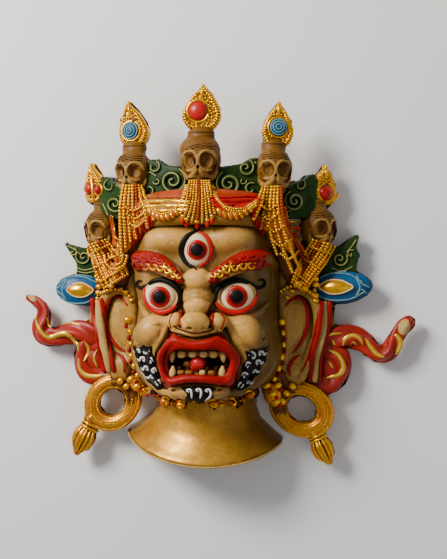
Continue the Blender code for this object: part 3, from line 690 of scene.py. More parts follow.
SWAG = paint(
    "swag", (0.58, 0.085, 0.001), (0.42, 0.042, 0.0008), (0.09, 0.006, 0.0005), 0.36, metal=0.3, gloss=0.3,
    crowd=2.5, wash_and_shade=0.9
)
PINK = paint(
    "pink_light", (0.85, 0.42, 0.34), (0.78, 0.34, 0.27), (0.4, 0.05, 0.04), 0.36, gloss=0.25, crowd=1.0,
    wash_and_shade=0.3
)
bins = {}


def put_in(name, material):
    """The shape that gathers everything of one name; every one of them becomes a piece at the end."""
    if name not in bins:
        bins[name] = (Shape(), material)
    return bins[name][0]


def decal(shape, carrier, outline, lift=0.3, dome=0.0, rings=7, count=56, sunk=1.0):
    """Raised paint: an outline in photograph pixels filled and cast onto its carrier, edge tucked under."""
    edge = smooth_path(ccw(np.asarray(outline, float))[::-1], count, closed=True)
    middle = edge.mean(0)
    rows = []
    for share, up in [(1.0, -sunk), (0.995, lift * 0.5)] + [
        (s, None) for s in np.linspace(0.96, 0.03, rings)
    ]:
        up = lift + dome * (1 - share**2) if up is None else up
        rows.append([carrier.put(*(middle + (p - middle) * share), lift=up) for p in edge])
    points, faces = loft(rows, caps=False)
    last = (len(rows) - 1) * count + np.arange(count)
    shape.add(points, faces + [last[None, :]])


def circle(px, py, rx, ry=None, count=20):
    ry = ry or rx
    return [(px + rx * math.cos(a), py - ry * math.sin(a)) for a in np.arange(count) * 2 * math.pi / count]


def stroke(shape, carrier, pixels, radius, lift=0.0, flat=0.7, calm=0, **more):
    pixels = smooth_path(np.asarray(pixels, float), max(5, int(length_of(pixels) / 3)))
    if np.ndim(radius):
        radius = np.interp(np.linspace(0, 1, len(pixels)), np.linspace(0, 1, len(radius)), radius)
    points, faces = tube(carrier.path(pixels, lift, calm), radius, flat=flat, **more)
    shape.add(points, faces)


def taper(count, middle, end=0.35):
    """Radii that swell in the middle of a stroke."""
    return middle * (end + (1 - end) * np.sin(np.linspace(0.0, math.pi, count)) ** 0.6)


def spiral(px, py, radius, turns=1.6, start=0.0, way=1, count=26, squash=1.0):
    """Pixels of a scroll that winds inwards."""
    made = []
    for share in np.linspace(0, 1, count):
        angle = math.radians(start) + way * share * turns * 2 * math.pi
        reach = radius * (1 - 0.88 * share)
        made.append((px + reach * math.cos(angle), py - reach * squash * math.sin(angle)))
    return made


def mirror(points, side):
    return [(side * x, y, z) for x, y, z in points]


# The casting's own body, drawn in a little so that the dressed forms stand on it

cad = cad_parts["mask"]


def ccw(outline):
    """The outline in the order that turns left, seen with Y up."""
    p = np.asarray(outline, float)
    q = np.roll(p, -1, 0)
    return p if (p[:, 0] * q[:, 1] - q[:, 0] * p[:, 1]).sum() > 0 else p[::-1]


def fan(shape, reds, ground, strings, size, lift):
    """Bead strings, each along a row of pixels of its own, over a gilt ground."""
    on_all = both(cad_form)
    if ground is not None:
        outline = [p for p in strings[0]] + [p for p in strings[-1][::-1]]
        decal(ground, on_all, outline, 0.5, dome=0.5, rings=7)
    for i, line in enumerate(strings):
        path = on_all.path(smooth_path(np.array(line, float), 16), lift, calm=3)
        painted = reds if i % 6 == 4 else shape
        beads(painted, path, size, gap=1.5)
        painted.add(*tube(path - (0, 0, 0.5), size * 0.86, sides=8))


def pixel_of(place):
    """The photograph's pixel of a point."""
    away = np.array(place, float) - EYE_POINT
    depth = -(away @ TOWARDS) / 1000
    return VIEW_CENTRE[0] + (away @ RIGHTWARDS) / depth / PIXEL, VIEW_CENTRE[1] - away[1] / depth / PIXEL


def lip_lines():
    """The outer and the inner outline of the lips, in pixels, matched point for point."""
    outer = [
        (173, 333), (180.5, 337.5), (196, 341), (211, 337.5), (219.5, 332.5), (229, 343), (240.5, 357.5),
        (238.5, 371), (233, 386.5), (215, 384.5)
    ]
    outer += [(196, 383), (180, 384.5), (166.5, 388), (161, 375), (157.5, 357.5), (164.5, 344)]
    inner = [
        (172.5, 351.5), (179, 349), (196, 350), (213, 349), (220, 351), (226.5, 355), (230, 361),
        (228, 369), (223, 375.5), (211, 375.5)
    ]
    inner += [(196, 375), (181, 375), (173, 376), (169, 369.5), (167.5, 362), (168.5, 355.5)]
    outer = smooth_path(ccw(np.array(outer))[::-1], 96, True)
    inner = smooth_path(ccw(np.array(inner))[::-1], 96, True)
    return outer, np.roll(inner, -int(np.argmin(np.linalg.norm(inner - outer[0], axis=1))), 0)


def core():
    mesh = cad.data.copy()
    count = len(mesh.vertices)
    points, normals = np.empty(count * 3, np.float32), np.empty(count * 3, np.float32)
    mesh.vertices.foreach_get("co", points)
    mesh.vertices.foreach_get("normal", normals)
    points, normals = points.reshape(-1, 3), normals.reshape(-1, 3)
    drawn = points - normals * 0.0018 * (normals[:, 2:] > -0.2)
    drawn[:, 2] = np.maximum(drawn[:, 2], 0.0)
    mesh.vertices.foreach_set("co", drawn.reshape(-1))
    mesh.materials.clear()
    mesh.materials.append(SHADOW)
    mesh.update()
    made = bpy.data.objects.new("hollow_body", mesh)
    bpy.context.scene.collection.objects.link(made)
    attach(made, "root")
    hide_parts("mask")
    return points * 1000 - ORIGIN, [tuple(f.vertices) for f in mesh.polygons]


def head():
    """The face, sculpted, with its wrinkles, folds, lids and nostrils."""
    clay = Clay((-72, -112, 0), (72, 62, 112), 1.04)
    for centre, radii in (VAULT, WAIST, JAW, FOREHEAD, CAP, MUZZLE):
        clay.egg(centre, radii, blend=5)
    for (x, y, z), radii in (TEMPLE, JOWL, CORNER):
        for side in SIDES:
            clay.egg((side * x, y, z), radii, blend=5)
    depth = clay.phi.copy()
    for side in SIDES:
        brow = ((59, 13, 44), (51, 17, 60), (38, 15, 74), (24, 8, 83), (11, 1, 88))
        clay.rod(mirror(brow, side), (4, 7.6, 7.8, 6.4, 4), blend=4)
        clay.egg((side * 25, 34, 64), (22, 13, 19), blend=7)
        clay.egg((side * 40, -41.5, 75), (18, 12, 13), (0, 0, -side * 38), blend=2.2)
        fold = ((24, -35, 83), (32, -49, 80), (38, -60, 75), (38, -74, 71), (31, -87, 70))
        clay.rod(mirror(fold, side), (2.4, 3.6, 4, 3.8, 2.4), blend=3.5)
        second = ((50, -44, 64), (53, -56, 61), (51, -70, 57), (44, -82, 57))
        clay.rod(mirror(second, side), (1.5, 3.0, 3.0, 1.5), blend=3)
        jaw = ((60, -60, 36), (54, -76, 48), (41, -88, 58), (22, -95, 68), (0, -97, 73))
        clay.rod(mirror(jaw, side), 4.6, blend=2.5)
        bag = ((15, -26, 79), (24, -33, 81), (36, -33, 77), (47, -28, 65), (55, -19, 49))
        clay.rod(mirror(bag, side), (2.6, 4, 4, 3.2, 2), blend=2)
        outer = ((18, -33, 82), (27, -39, 82), (38, -39, 77), (49, -34, 64), (57, -25, 48))
        clay.rod(mirror(outer, side), (0.8, 1.5, 1.5, 1.2, 0.6), blend=1.4, remove=True)
        clay.egg((side * EYE_AT[0], EYE_AT[1], EYE_AT[2]), (14, 14, 13.6), blend=2.5)
        rim = []
        for angle in np.linspace(0, 2 * math.pi, 15)[:-1]:
            across = 14.55 * math.cos(angle)
            rim.append(
                (
                    side * EYE_AT[0] + across, EYE_AT[1] + 12.75 * math.sin(angle),
                    EYE_AT[2] + 9 - 0.22 * across * side
                )
            )
        clay.rod(rim, 2.3, blend=1.6, closed=True)
    clay.egg((0, -91, 76), (26, 9, 14), blend=3)
    clay.egg((0, 0.5, 85), (12, 9.5, 10), blend=1.4)
    clay.egg((0, -14, 80), (13, 13, 12), blend=3)
    clay.egg((0, -21, 91), (10.5, 6.4, 9), blend=1.2)
    clay.egg((0, -25, 91), (9, 5, 9), blend=1.5)
    clay.egg((0, -34, 98), (12, 9, 13.2), blend=1.5)
    for side in SIDES:
        clay.egg((side * 17.2, -33.5, 88.4), (7.9, 7.2, 8.2), blend=2.2)
    ledge = ((-19, -40, 90), (-9, -42, 97), (0, -43.5, 99), (9, -42, 97), (19, -40, 90))
    clay.rod(ledge, 2.5, blend=1.0)
    clay.egg((-0.8, 25, 76), (12.6, 17, 6.4), blend=3)
    clay.top()
    for y, wide in ((292, 10), (297, 12), (301.5, 12)):
        clay.rod(
            clay.path([(197 - wide, y + 2), (197, y - 1), (197 + wide, y + 2)], -0.3), (1.1, 1.9, 1.1),
            blend=0.6
        )
    clay.rod(clay.path([(203, 224), (203.5, 229), (202, 233)], 0.6), 1.1, blend=1.2, remove=True)
    grooves = [((178, 264), (183, 272), (184, 282)), ((212, 264), (210, 272), (210, 282))]
    grooves += [((171, 317), (176, 312), (183, 312)), ((223, 316), (217, 311), (210, 311))]
    grooves += [((180, 311), (183.5, 318), (185, 325)), ((212, 310), (209, 318), (207, 325))]
    grooves += [((132, 328), (136, 343), (150, 351)), ((265, 326), (262, 342), (248, 351))]
    grooves += [((168, 318), (162, 330), (158, 342)), ((226, 317), (234, 330), (240, 342))]
    grooves += [((162, 392), (180, 389.5), (196, 388), (214, 389.5), (233, 391))]
    grooves += [((127, 262), (126, 280), (129, 300)), ((271, 260), (273, 280), (270, 300))]
    grooves += [((176, 330), (184, 335), (196, 337), (209, 335), (218, 330))]
    for pixels in grooves:
        clay.rod(clay.path(pixels, 0.9), (0.5,) + (1.3,) * (len(pixels) - 2) + (0.5,), blend=1.2, remove=True)
    folds = [((140, 316), (152, 322), (164, 324)), ((254, 315), (244, 322), (231, 324))]
    folds += [((133, 355), (139, 370), (150, 386)), ((265, 355), (259, 370), (249, 386))]
    for pixels in folds:
        clay.rod(clay.path(pixels, -0.6), (0.5,) + (1.4,) * (len(pixels) - 2) + (0.5,), blend=1.6)
    for px, py in ((189.5, 328.5), (203.5, 328.5)):
        clay.egg(clay.put(px, py, 0.5), (2.4, 1.6, 2.4), blend=0.8, remove=True)
    clay.rod(((-15, -66.5, 87), (0, -65, 91), (15, -66.5, 87)), 12.3, blend=1.0, remove=True)
    _, (x, y, z) = clay.window(clay.low, clay.low + clay.size * clay.step)
    clay.phi = np.maximum(clay.phi, 0.5 - z)
    clay.phi = np.maximum(clay.phi, y - 58.0)
    points, quads, cells = clay.skin()
    # Darker in hollows and paler on raised forms: the wash, partly painted shade.
    wash_and_shade = np.maximum(
        np.clip(clay.hollows(cells, 2.4) * 2.0 - 0.2, 0, 0.95),
        np.clip(clay.hollows(cells, 7.0) * 2.6 + 0.4, 0, 0.8)
    )
    near = np.clip(np.round(cells).astype(int), 0, clay.size - 1)
    shallow = depth[tuple(near.T)] > -5.0
    quads = quads[shallow[quads].all(1)]
    used = np.unique(quads)
    fresh = np.full(len(points), -1)
    fresh[used] = np.arange(len(used))
    points, wash_and_shade, quads = points[used], wash_and_shade[used], fresh[quads]
    x, y, z = points.T
    # Painted shade: darker towards the face's sides, on its right side away from the light, and towards the
    # chin.
    sides = np.clip((np.abs(x - 1) - 42) / 16, 0, 0.6)
    right = np.clip((x + 4) / 55, 0, 0.6) * np.clip((98 - z) / 30, 0, 1) + 0.35 * np.clip(
        (-72 - y) / 16, 0, 1
    )
    Shape().add(
        points, quads, np.minimum(0.94, np.maximum(wash_and_shade, 0.25 * wash_and_shade + np.minimum(0.85, sides + right)))
    ).piece("face", SKIN)
    return Carrier(points, quads)


def eyeballs():
    """Staring eyes with ringed irises, black upper lids and red lower ones, and the upright third eye."""
    white, ring, iris, pupil = put_in("eye_whites", EYE_WHITE), put_in(
        "iris_rings", BRIGHT_RED
    ), put_in("irises", IRIS), put_in("pupils", BLACK)
    lids, rims, pink = put_in("eye_lines", BLACK), put_in("eye_rims", BRIGHT_RED), put_in("iris_lights", PINK)
    balls, fine = Shape(), ball(26, 42)
    for shape in (balls, white):
        for side in SIDES:
            lump(shape, (side * EYE_AT[0], EYE_AT[1], EYE_AT[2] + 0.8), (16.8, 15.2, 15.6), form=fine)
        lump(shape, (-0.8, 24.2, 77), (11.2, 14.8, 9.6), form=fine)
    carrier = both(Carrier(*balls.whole()))
    for at, wide, mid, small in (
        ((159.5, 297), 10.6, 7.9, 6.0), ((236.5, 296.5), 11.2, 8.2, 6.2), ((197, 250), 10.2, 7.8, 5.8)
    ):
        decal(ring, carrier, circle(*at, wide), 0.45, rings=5, sunk=0.6)
        decal(iris, carrier, circle(*at, mid), 0.75, rings=5, sunk=0.4)
        decal(pupil, carrier, circle(*at, small), 1.0, dome=0.4, rings=4, sunk=0.4)
        light = [
            (at[0] + (wide - 1.5) * math.cos(a), at[1] - (wide - 1.5) * math.sin(a))
            for a in np.linspace(math.radians(100), math.radians(200), 9)
        ]
        stroke(pink, carrier, light, taper(10, 0.5, 0.3), 0.75, flat=0.5)
    left = [
        (177, 305), (180, 299), (178.5, 290.5), (172, 284), (163, 280), (154, 281), (147, 285.5),
        (141.5, 288), (137.5, 285.5), (138, 281.5), (141.5, 281)
    ]
    right = [
        (215.5, 301), (217, 291), (223, 285), (233, 280.8), (243, 280.8), (250.5, 284), (256, 287.5),
        (262, 287), (265.5, 283.5), (263.5, 279.5), (259.5, 280.5)
    ]
    widths = np.array((1.0, 1.8, 2.2, 2.3, 2.2, 2.0, 1.9, 1.9, 1.6, 1.2, 0.8))
    for line in (left, right):
        stroke(lids, carrier, line, widths, 0.9, flat=0.8, calm=2)
    for line in (
        [(144.5, 289), (145, 298), (149.5, 306.5), (159, 312), (169, 310.5), (176.5, 305)],
        [(216.5, 303), (222, 309), (233, 312.5), (245, 310), (254, 302.5), (256.5, 291)]
    ):
        stroke(rims, carrier, line, taper(16, 2.3, 0.5), 0.6, calm=2)
    stroke(
        lids, carrier, [(196, 231), (187.5, 236), (182, 245), (182, 254), (187, 263), (196.5, 269.5)],
        taper(16, 2.4), 0.5, calm=2
    )
    stroke(
        rims, carrier, [(198, 231), (206, 236), (211, 245), (211, 254), (206, 262), (199, 268.5)],
        taper(16, 1.9), 0.4, calm=2
    )
    lump(lids, carrier.put(197.3, 230), (2.8, 3.0, 2.0))


def both(*carriers):
    """A carrier that takes whichever of several forms the camera meets first."""
    made = Carrier.__new__(Carrier)

    def put(px, py, lift=0.0):
        ray = ray_of(px, py)
        ray = ray / np.linalg.norm(ray)
        best, far = None, 1e9
        for one in carriers + (face_form,):
            hit, normal, _, distance = one.tree.ray_cast(Vector(EYE_POINT), Vector(ray))
            if hit is not None and distance < far:
                best, far = np.array(hit) + np.array(normal) * lift, distance
        return carriers[0].put(px, py, lift) if best is None else best

    made.put = put
    return made


def brow_curls():
    """Flame-like red tufts with curled ends along the brows, flecked with gold."""
    red, deep, gold = put_in("brow_red", RED), put_in("brow_base", DEEP_RED), put_in("brow_gold", GOLD)
    rows = (
        (
            [(134, 251), (150, 251), (160, 254), (170, 261), (178, 270), (184, 277)],
            [(134, 270), (150, 271), (160, 272), (170, 276), (178, 282), (184, 284)]
        ),
        (
            [(266, 249), (250, 250), (240, 252), (228, 258), (218, 266), (209, 275)],
            [(265, 268), (252, 270), (240, 271), (228, 274), (217, 281), (209, 284)]
        ),
    )
    for top, bottom in rows:
        top, bottom = smooth_path(np.array(top, float), 60), smooth_path(np.array(bottom, float), 60)
        way = 1 if top[0][0] < top[-1][0] else -1
        decal(deep, face_form, np.vstack([top[::4], bottom[::-4]]), 1.1, dome=1.0, rings=6)
        for i in range(7):
            k = int((i + 0.6) / 7.2 * 59)
            a, b = top[k], bottom[k]
            tall = np.linalg.norm(b - a)
            for row, share_down, reach in ((0, 0.3, 0.27), (1, 0.74, 0.24)):
                centre = a + (b - a) * share_down + np.array((way * (1.2 if row else -1.2), 0))
                winding = spiral(
                    *centre, max(2.2, reach * tall), 1.2, 90 - way * 110 + 180 * row,
                    way * (1 if row else -1), 18
                )
                root = tuple(centre + np.array((-way * 0.62 * tall, 0.16 * tall * (1 if row else -1))))
                stroke(red, face_form, [root] + winding, taper(14, 1.5, 0.5), 1.9, flat=0.9)
                if (row and i in (1, 2, 3, 4, 5)) or (not row and i in (4, 5, 6)):
                    stroke(gold, face_form, winding[: 13 if row else 10], taper(12, 1.15, 0.5), 2.9, flat=0.8)


def mouth():
    """Red lips round an open mouth with gums, teeth, four fangs and a tongue."""
    outer, inner = lip_lines()
    reach = both(cad_form)

    def calmed(values, times=3):
        for _ in range(times):
            values = (np.roll(values, 1) + 2 * values + np.roll(values, -1)) / 4
        return values

    def level(line):
        return calmed(np.array([max(reach.put(*p)[2], face_form.put(*p)[2]) for p in line]), 3)

    rows = []
    z_mid = level(outer * 0.5 + inner * 0.5)
    for share, extra in (
        (-0.04, -0.8), (0.0, 0.5), (0.1, 1.1), (0.25, 1.3), (0.4, 1.3), (0.55, 1.2), (0.7, 1.0)
    ):
        line = outer * (1 - share) + inner * share
        rows.append([at_depth(*p, z + extra) for p, z in zip(line, level(line))])
    for share, drop in ((0.86, 0.4), (0.97, 1.8), (1.03, 4.5), (1.05, 10.0)):
        line = outer * (1 - share) + inner * share
        rows.append([at_depth(*p, z + 1.1 - drop) for p, z in zip(line, z_mid)])
    put_in("lips", RED).add(*loft(rows, caps=False))
    bed, middle = put_in("mouth_bed", BLACK), inner.mean(0)
    rows = []
    for share, drop in ((1.04, 4.0), (1.02, 8.0), (0.9, 13.0), (0.5, 14.0), (0.05, 14.0)):
        rows.append([at_depth(*(middle + (p - middle) * share), z - drop) for p, z in zip(inner, z_mid)])
    bed.add(*loft(rows, caps=False))
    teeth, gums = put_in("teeth", TOOTH_PAINT), put_in("gums", GUM)
    block = ball(14, 20)
    block = (np.sign(block[0]) * np.abs(block[0]) ** 0.72, block[1])
    for row, way, z in ((351, 1, 91), (377, -1, 89.5)):
        line = [
            at_depth(px, row + 0.2 * way, z - 3.5 - 6 * ((px - 198) / 30) ** 2)
            for px in (169, 182, 196, 211, 227)
        ]
        gums.add(*tube(line, 3.8, flat=0.8))
    for px, wide, high in ((181.5, 3.4, 3.2), (192.5, 3.2, 2.9), (203.5, 3.2, 2.9), (213.5, 3.3, 3.2)):
        lump(teeth, at_depth(px, 354.2, 90.5 - 5 * ((px - 198) / 30) ** 2), (wide, high, 2.8), form=block)
        lump(gums, at_depth(px + 5.4, 353.4, 89.0 - 5 * ((px - 198) / 30) ** 2), (2.4, 2.8, 2.4), form=block)
    for px, wide, high in ((181, 3.2, 2.6), (189, 3.4, 2.4), (202.5, 2.8, 2.8), (211.5, 3.2, 2.4)):
        lump(
            gums if px != 202.5 else teeth, at_depth(px, 373.2, 89.0 - 5 * ((px - 198) / 30) ** 2),
            (wide, high, 2.6), form=block
        )
    for px, row, way, long in (
        (172, 350.5, 1, 10.5), (223.5, 350.5, 1, 10.5), (173, 377, -1, 10), (222.5, 377, -1, 10)
    ):
        base = at_depth(px, row, 86.5)
        tip = at_depth(px, row + long * way, 88)
        teeth.add(*tube([base, (base + tip) / 2 + (0, 0, 1.6), tip], (3.0, 3.1, 1.3), sides=14))
    lump(put_in("back_gums", GUM), at_depth(188, 364, 83), (4, 3.4, 3))
    tongue = put_in("tongue", TONGUE)
    lump(tongue, at_depth(198, 368, 82), (8.5, 5.0, 5.0))
    lump(tongue, at_depth(198, 363, 87), (6.2, 5.8, 5.6))
    reds = put_in("nose_lines", RED)
    for line, wide in (
        ([(181, 312), (180, 318), (181, 324)], 1.5), ([(212, 312), (212.5, 318), (211, 324)], 1.9),
        ([(171, 316), (169.5, 322), (171, 328)], 0.6), ([(222, 314), (224, 321), (221, 329)], 0.9),
        ([(216, 311.5), (221, 313)], 0.7), ([(172, 313.5), (178, 311)], 0.7)
    ):
        stroke(reds, face_form, line, wide, 0.1, flat=0.5)
    stroke(
        put_in("ledge_line", SHADOW_LINE), face_form,
        [(174, 326), (178, 329), (186, 331.5), (196, 333), (208, 331.5), (214, 329)], 0.7, 0.1
    )


def beard():
    """Black patches beside the mouth and on the chin, with white curls combed over them."""
    black, white = put_in("beard", BLACK), put_in("beard_curls", SPARK)
    left = [
        (133, 345.5), (139, 348), (143, 345), (147, 347), (152, 346), (152.5, 354), (156, 360),
        (155.5, 367), (159, 372), (160, 379), (164.5, 387), (158, 390), (152, 385), (147, 381), (144, 374),
        (139, 368), (137, 359)
    ]
    right = [
        (245, 351), (250, 352), (254, 349), (260, 350.5), (269, 345.5), (266.5, 354), (266, 361),
        (261, 366), (260, 373), (254, 378), (250, 385), (240, 391), (235, 387), (239, 380), (242, 373),
        (243, 365), (247, 359)
    ]
    chin = [
        (181, 388), (190, 387), (200, 386.5), (208, 387), (216, 388.5), (212, 393), (214, 397.5),
        (206, 399), (203, 407), (198, 407.5), (194, 400), (190, 402), (185, 399), (187, 394)
    ]
    for outline in (left, right, chin):
        decal(black, face_form, outline, 0.8, dome=0.8, rings=6, count=90)
    curls = []
    for rows, way in (
        (
            (
                (139, 352, 3.4), (147, 351.5, 3.6), (143.5, 360, 3.8), (151, 361, 3.0), (147, 369, 3.6),
                (154.5, 371, 2.8), (152, 378, 3.4), (158.5, 383, 3.0)
            ),
            1
        ),
        (
            (
                (261, 354, 3.6), (252, 356, 4.2), (258, 363, 3.8), (248.5, 366, 3.8), (254.5, 372, 3.4),
                (245, 376, 3.6), (248.5, 383, 2.8), (241, 385.5, 3.0)
            ),
            -1
        )
    ):
        for k, (px, py, reach) in enumerate(rows):
            curl = way if k % 2 else -way
            start = 70 if k % 2 else 200
            winding = spiral(px, py, reach, 1.15, start if way > 0 else 180 - start, curl, 16)
            tail = (winding[0][0] + way * (1.5 if k % 2 else -2.0), winding[0][1] + (3.0 if k % 2 else -2.5))
            curls.append(([tail] + winding, 1.0))
    for k, (px, py) in enumerate(((188.5, 391.5), (198, 391), (207.5, 391.5))):
        winding = spiral(px, py, 3.2, 0.8, 20, 1, 12)
        curls.append(([(px + 0.5 + 3 * (1 - k), py + 9), (px + 3.4, py + 4)] + winding, 0.95))
    for line, wide in curls:
        stroke(white, face_form, line, taper(14, wide, 0.45), 1.7)


def chin_curls():
    """Gilt flame tips that curl out under the jaw."""
    base, gold, red = put_in("chin_flames", GILT), put_in("chin_curls", GOLD), put_in("chin_reds", RED)
    on_chin = both(cad_form)
    for px, py, r in (
        (148, 392, 6), (156, 398, 5), (165, 402, 6.5), (174, 403, 4.5), (181, 405, 6), (214, 404, 6),
        (222, 404, 4.5), (232, 403, 6.5), (242, 400, 5), (250, 395, 6)
    ):
        way = 1 if px < 198 else -1
        lump(base, cad_form.put(px, py, 0.0), (r * 0.62, r * 0.52, 2.4))
        line = spiral(px, py, r * 0.82, 1.4, 90 - way * 60, way, 16) 
        stroke(gold, on_chin, line, taper(12, 0.95, 0.4), 1.5)
        lump(red, on_chin.put(px - way * 0.4 * r, py - 0.7 * r, 1.0), (1.5, 1.5, 1.1))


def neck():
    """A flaring neck with a drooping, rolled rim."""
    rows, tones = [], []
    for i in range(81):
        angle = math.pi * (i / 80 - 0.5)
        section = []
        for inset in (0.0, 4.5):
            stations = np.linspace(0.0, 1.0, 30) if inset == 0 else np.linspace(0.995, 0.0, 20)
            for along in stations:
                out = np.interp(along, (0.0, 0.3, 0.5, 0.68, 0.85, 1.0), (0.0, 0.0, 0.02, 0.18, 0.6, 1.0))
                roll = 0.9 * math.exp(-((along - 0.95) / 0.035) ** 2) if inset == 0 else 0
                half = 43.5 + 25.9 * out - inset + roll - 0.5
                deep = 48 + 12 * out - inset + roll - 0.5
                x, z = half * math.sin(angle), deep * math.cos(angle)
                y = -84 - 51 * along - 22 * along * max(
                    0.0, math.cos(angle)
                ) ** 1.3 + math.tan(math.radians(-3.4)) * x * along
                section.append((x - 5.4 * (0.5 + along / 2), y, max(0.4, z)))
                # Painted shade: darker under the chin, towards the right side and at the far left edge; the
                # inner wall is kept dark.
                shade = max(0.0, 0.8 - 2.4 * along) + max(0.0, x / 90) + 0.35 * max(0.0, -x - 40) / 20
                tones.append(min(0.82, shade) if inset == 0 else 0.7)
        rows.append(section)
    put_in("neck", NECK_SKIN).add(*loft(rows), tones)
    # Painted highlight: a pale line along the rolled rim.
    rim = np.array(rows)[4:-4, 29] + (0, -0.1, 0.2)
    put_in("neck_rim_highlight", RIM_TAN).add(*tube(rim, 0.9, sides=8))


def ears():
    """Long ears with a rolled rim, a flat sunk middle and a red band inside the rim."""
    for side in SIDES:
        low = (50, -92, 0) if side > 0 else (-118, -92, 0)
        clay = Clay(low, (low[0] + 68, 20, 44), 1.1)
        at, h = np.array((side * 79, -43, 21)), 38
        seam = ((66, 10, 28), (67, -8, 24), (68, -30, 22), (66, -58, 22), (60, -82, 24))
        clay.rod(mirror(seam, side), 8.5, blend=3)
        clay.egg(at - (0, 0, 3), (0.46 * h, 0.96 * h, 8.4), (0, side * 12, side * 4), blend=3)
        clay.egg(at + (side * 8, 0, -10), (0.6 * h, 1.05 * h, 8), blend=3)
        clay.egg(at + (-side * 4, -34, 0), (13, 14, 10), blend=3)
        rim = (
            (-0.36, 0.62), (-0.2, 0.86), (0.08, 0.9), (0.34, 0.68), (0.44, 0.25), (0.38, -0.25),
            (0.2, -0.7), (0.05, -1.05)
        )
        clay.rod([at + (side * x * h, y * h, 5) for x, y in rim], 4.3, blend=1.2)
        _, (x, y, z) = clay.window(clay.low, clay.low + clay.size * clay.step)
        clay.phi = np.maximum(clay.phi, 0.5 - z)
        points, quads, cells = clay.skin()
        # Darker in the hollows (wash with painted shade), and the right ear darker all over as painted shade.
        wash_and_shade = np.clip(clay.hollows(cells, 2.4) * 1.6 - 0.1 + (0.3 if side > 0 else 0), 0, 0.9)
        Shape().add(points, quads, wash_and_shade).piece("ear_left" if side < 0 else "ear_right", EAR_SKIN)
        carrier = Carrier(points, quads)
        band = [
            (127, 305), (121, 297), (113, 297), (107, 304), (105, 315), (107, 328), (112, 340), (119, 348),
            (125, 351)
        ]
        leaf = [
            (125, 308), (119, 301), (112, 304), (110, 316), (113, 331), (119, 341), (125, 345), (127, 330)
        ]
        edge = [(99, 322), (103, 340), (108, 356), (113, 368)]
        if side > 0:
            band = [
                (286, 306), (292, 299), (300, 298), (306, 305), (308, 317), (306, 330), (301, 342),
                (294, 352)
            ]
            leaf = [
                (288, 309), (294, 303), (301, 305), (304, 317), (301, 331), (295, 343), (289, 348),
                (286, 330)
            ]
            edge = [(317, 318), (313, 340), (307, 360), (302, 372)]
        decal(put_in("ear_hollows", EAR_SKIN), carrier, leaf, 0.25, rings=5)
        stroke(put_in("ear_lines", RED), carrier, band, taper(14, 2.0, 0.4), 0.5, flat=0.45, calm=1)
        stroke(put_in("ear_lines", RED), carrier, edge, taper(12, 1.2), 0.2, flat=0.5)
        lobe = [(115, 352), (121, 356), (125, 364), (124, 372)] if side < 0 else [
            (299, 355), (293, 360), (289, 368), (290, 376)
        ]
        stroke(put_in("ear_lines", RED), carrier, lobe, taper(12, 1.6), 0.3, flat=0.5)
        seams = ((128, 320), (130.5, 332), (131, 344), (132, 356), (135, 366), (138, 376))
        if side > 0:
            seams = ((282, 322), (283, 333), (283, 345), (281, 357), (278, 368), (274, 378))
        for i, (px, py) in enumerate(seams):
            place = both(cad_form).put(px, py, 0.6)
            lump(put_in("seam_beads", GOLD), place, (3.9, 3.4, 2.8) if i == 0 else (2.5, 2.9, 2.1))
            lump(
                put_in("seam_dots", GILT if i % 2 else RED),
                both(cad_form).put(px + side * 1.5, py + 6, 0.5), (1.8, 2.2, 1.6)
            )


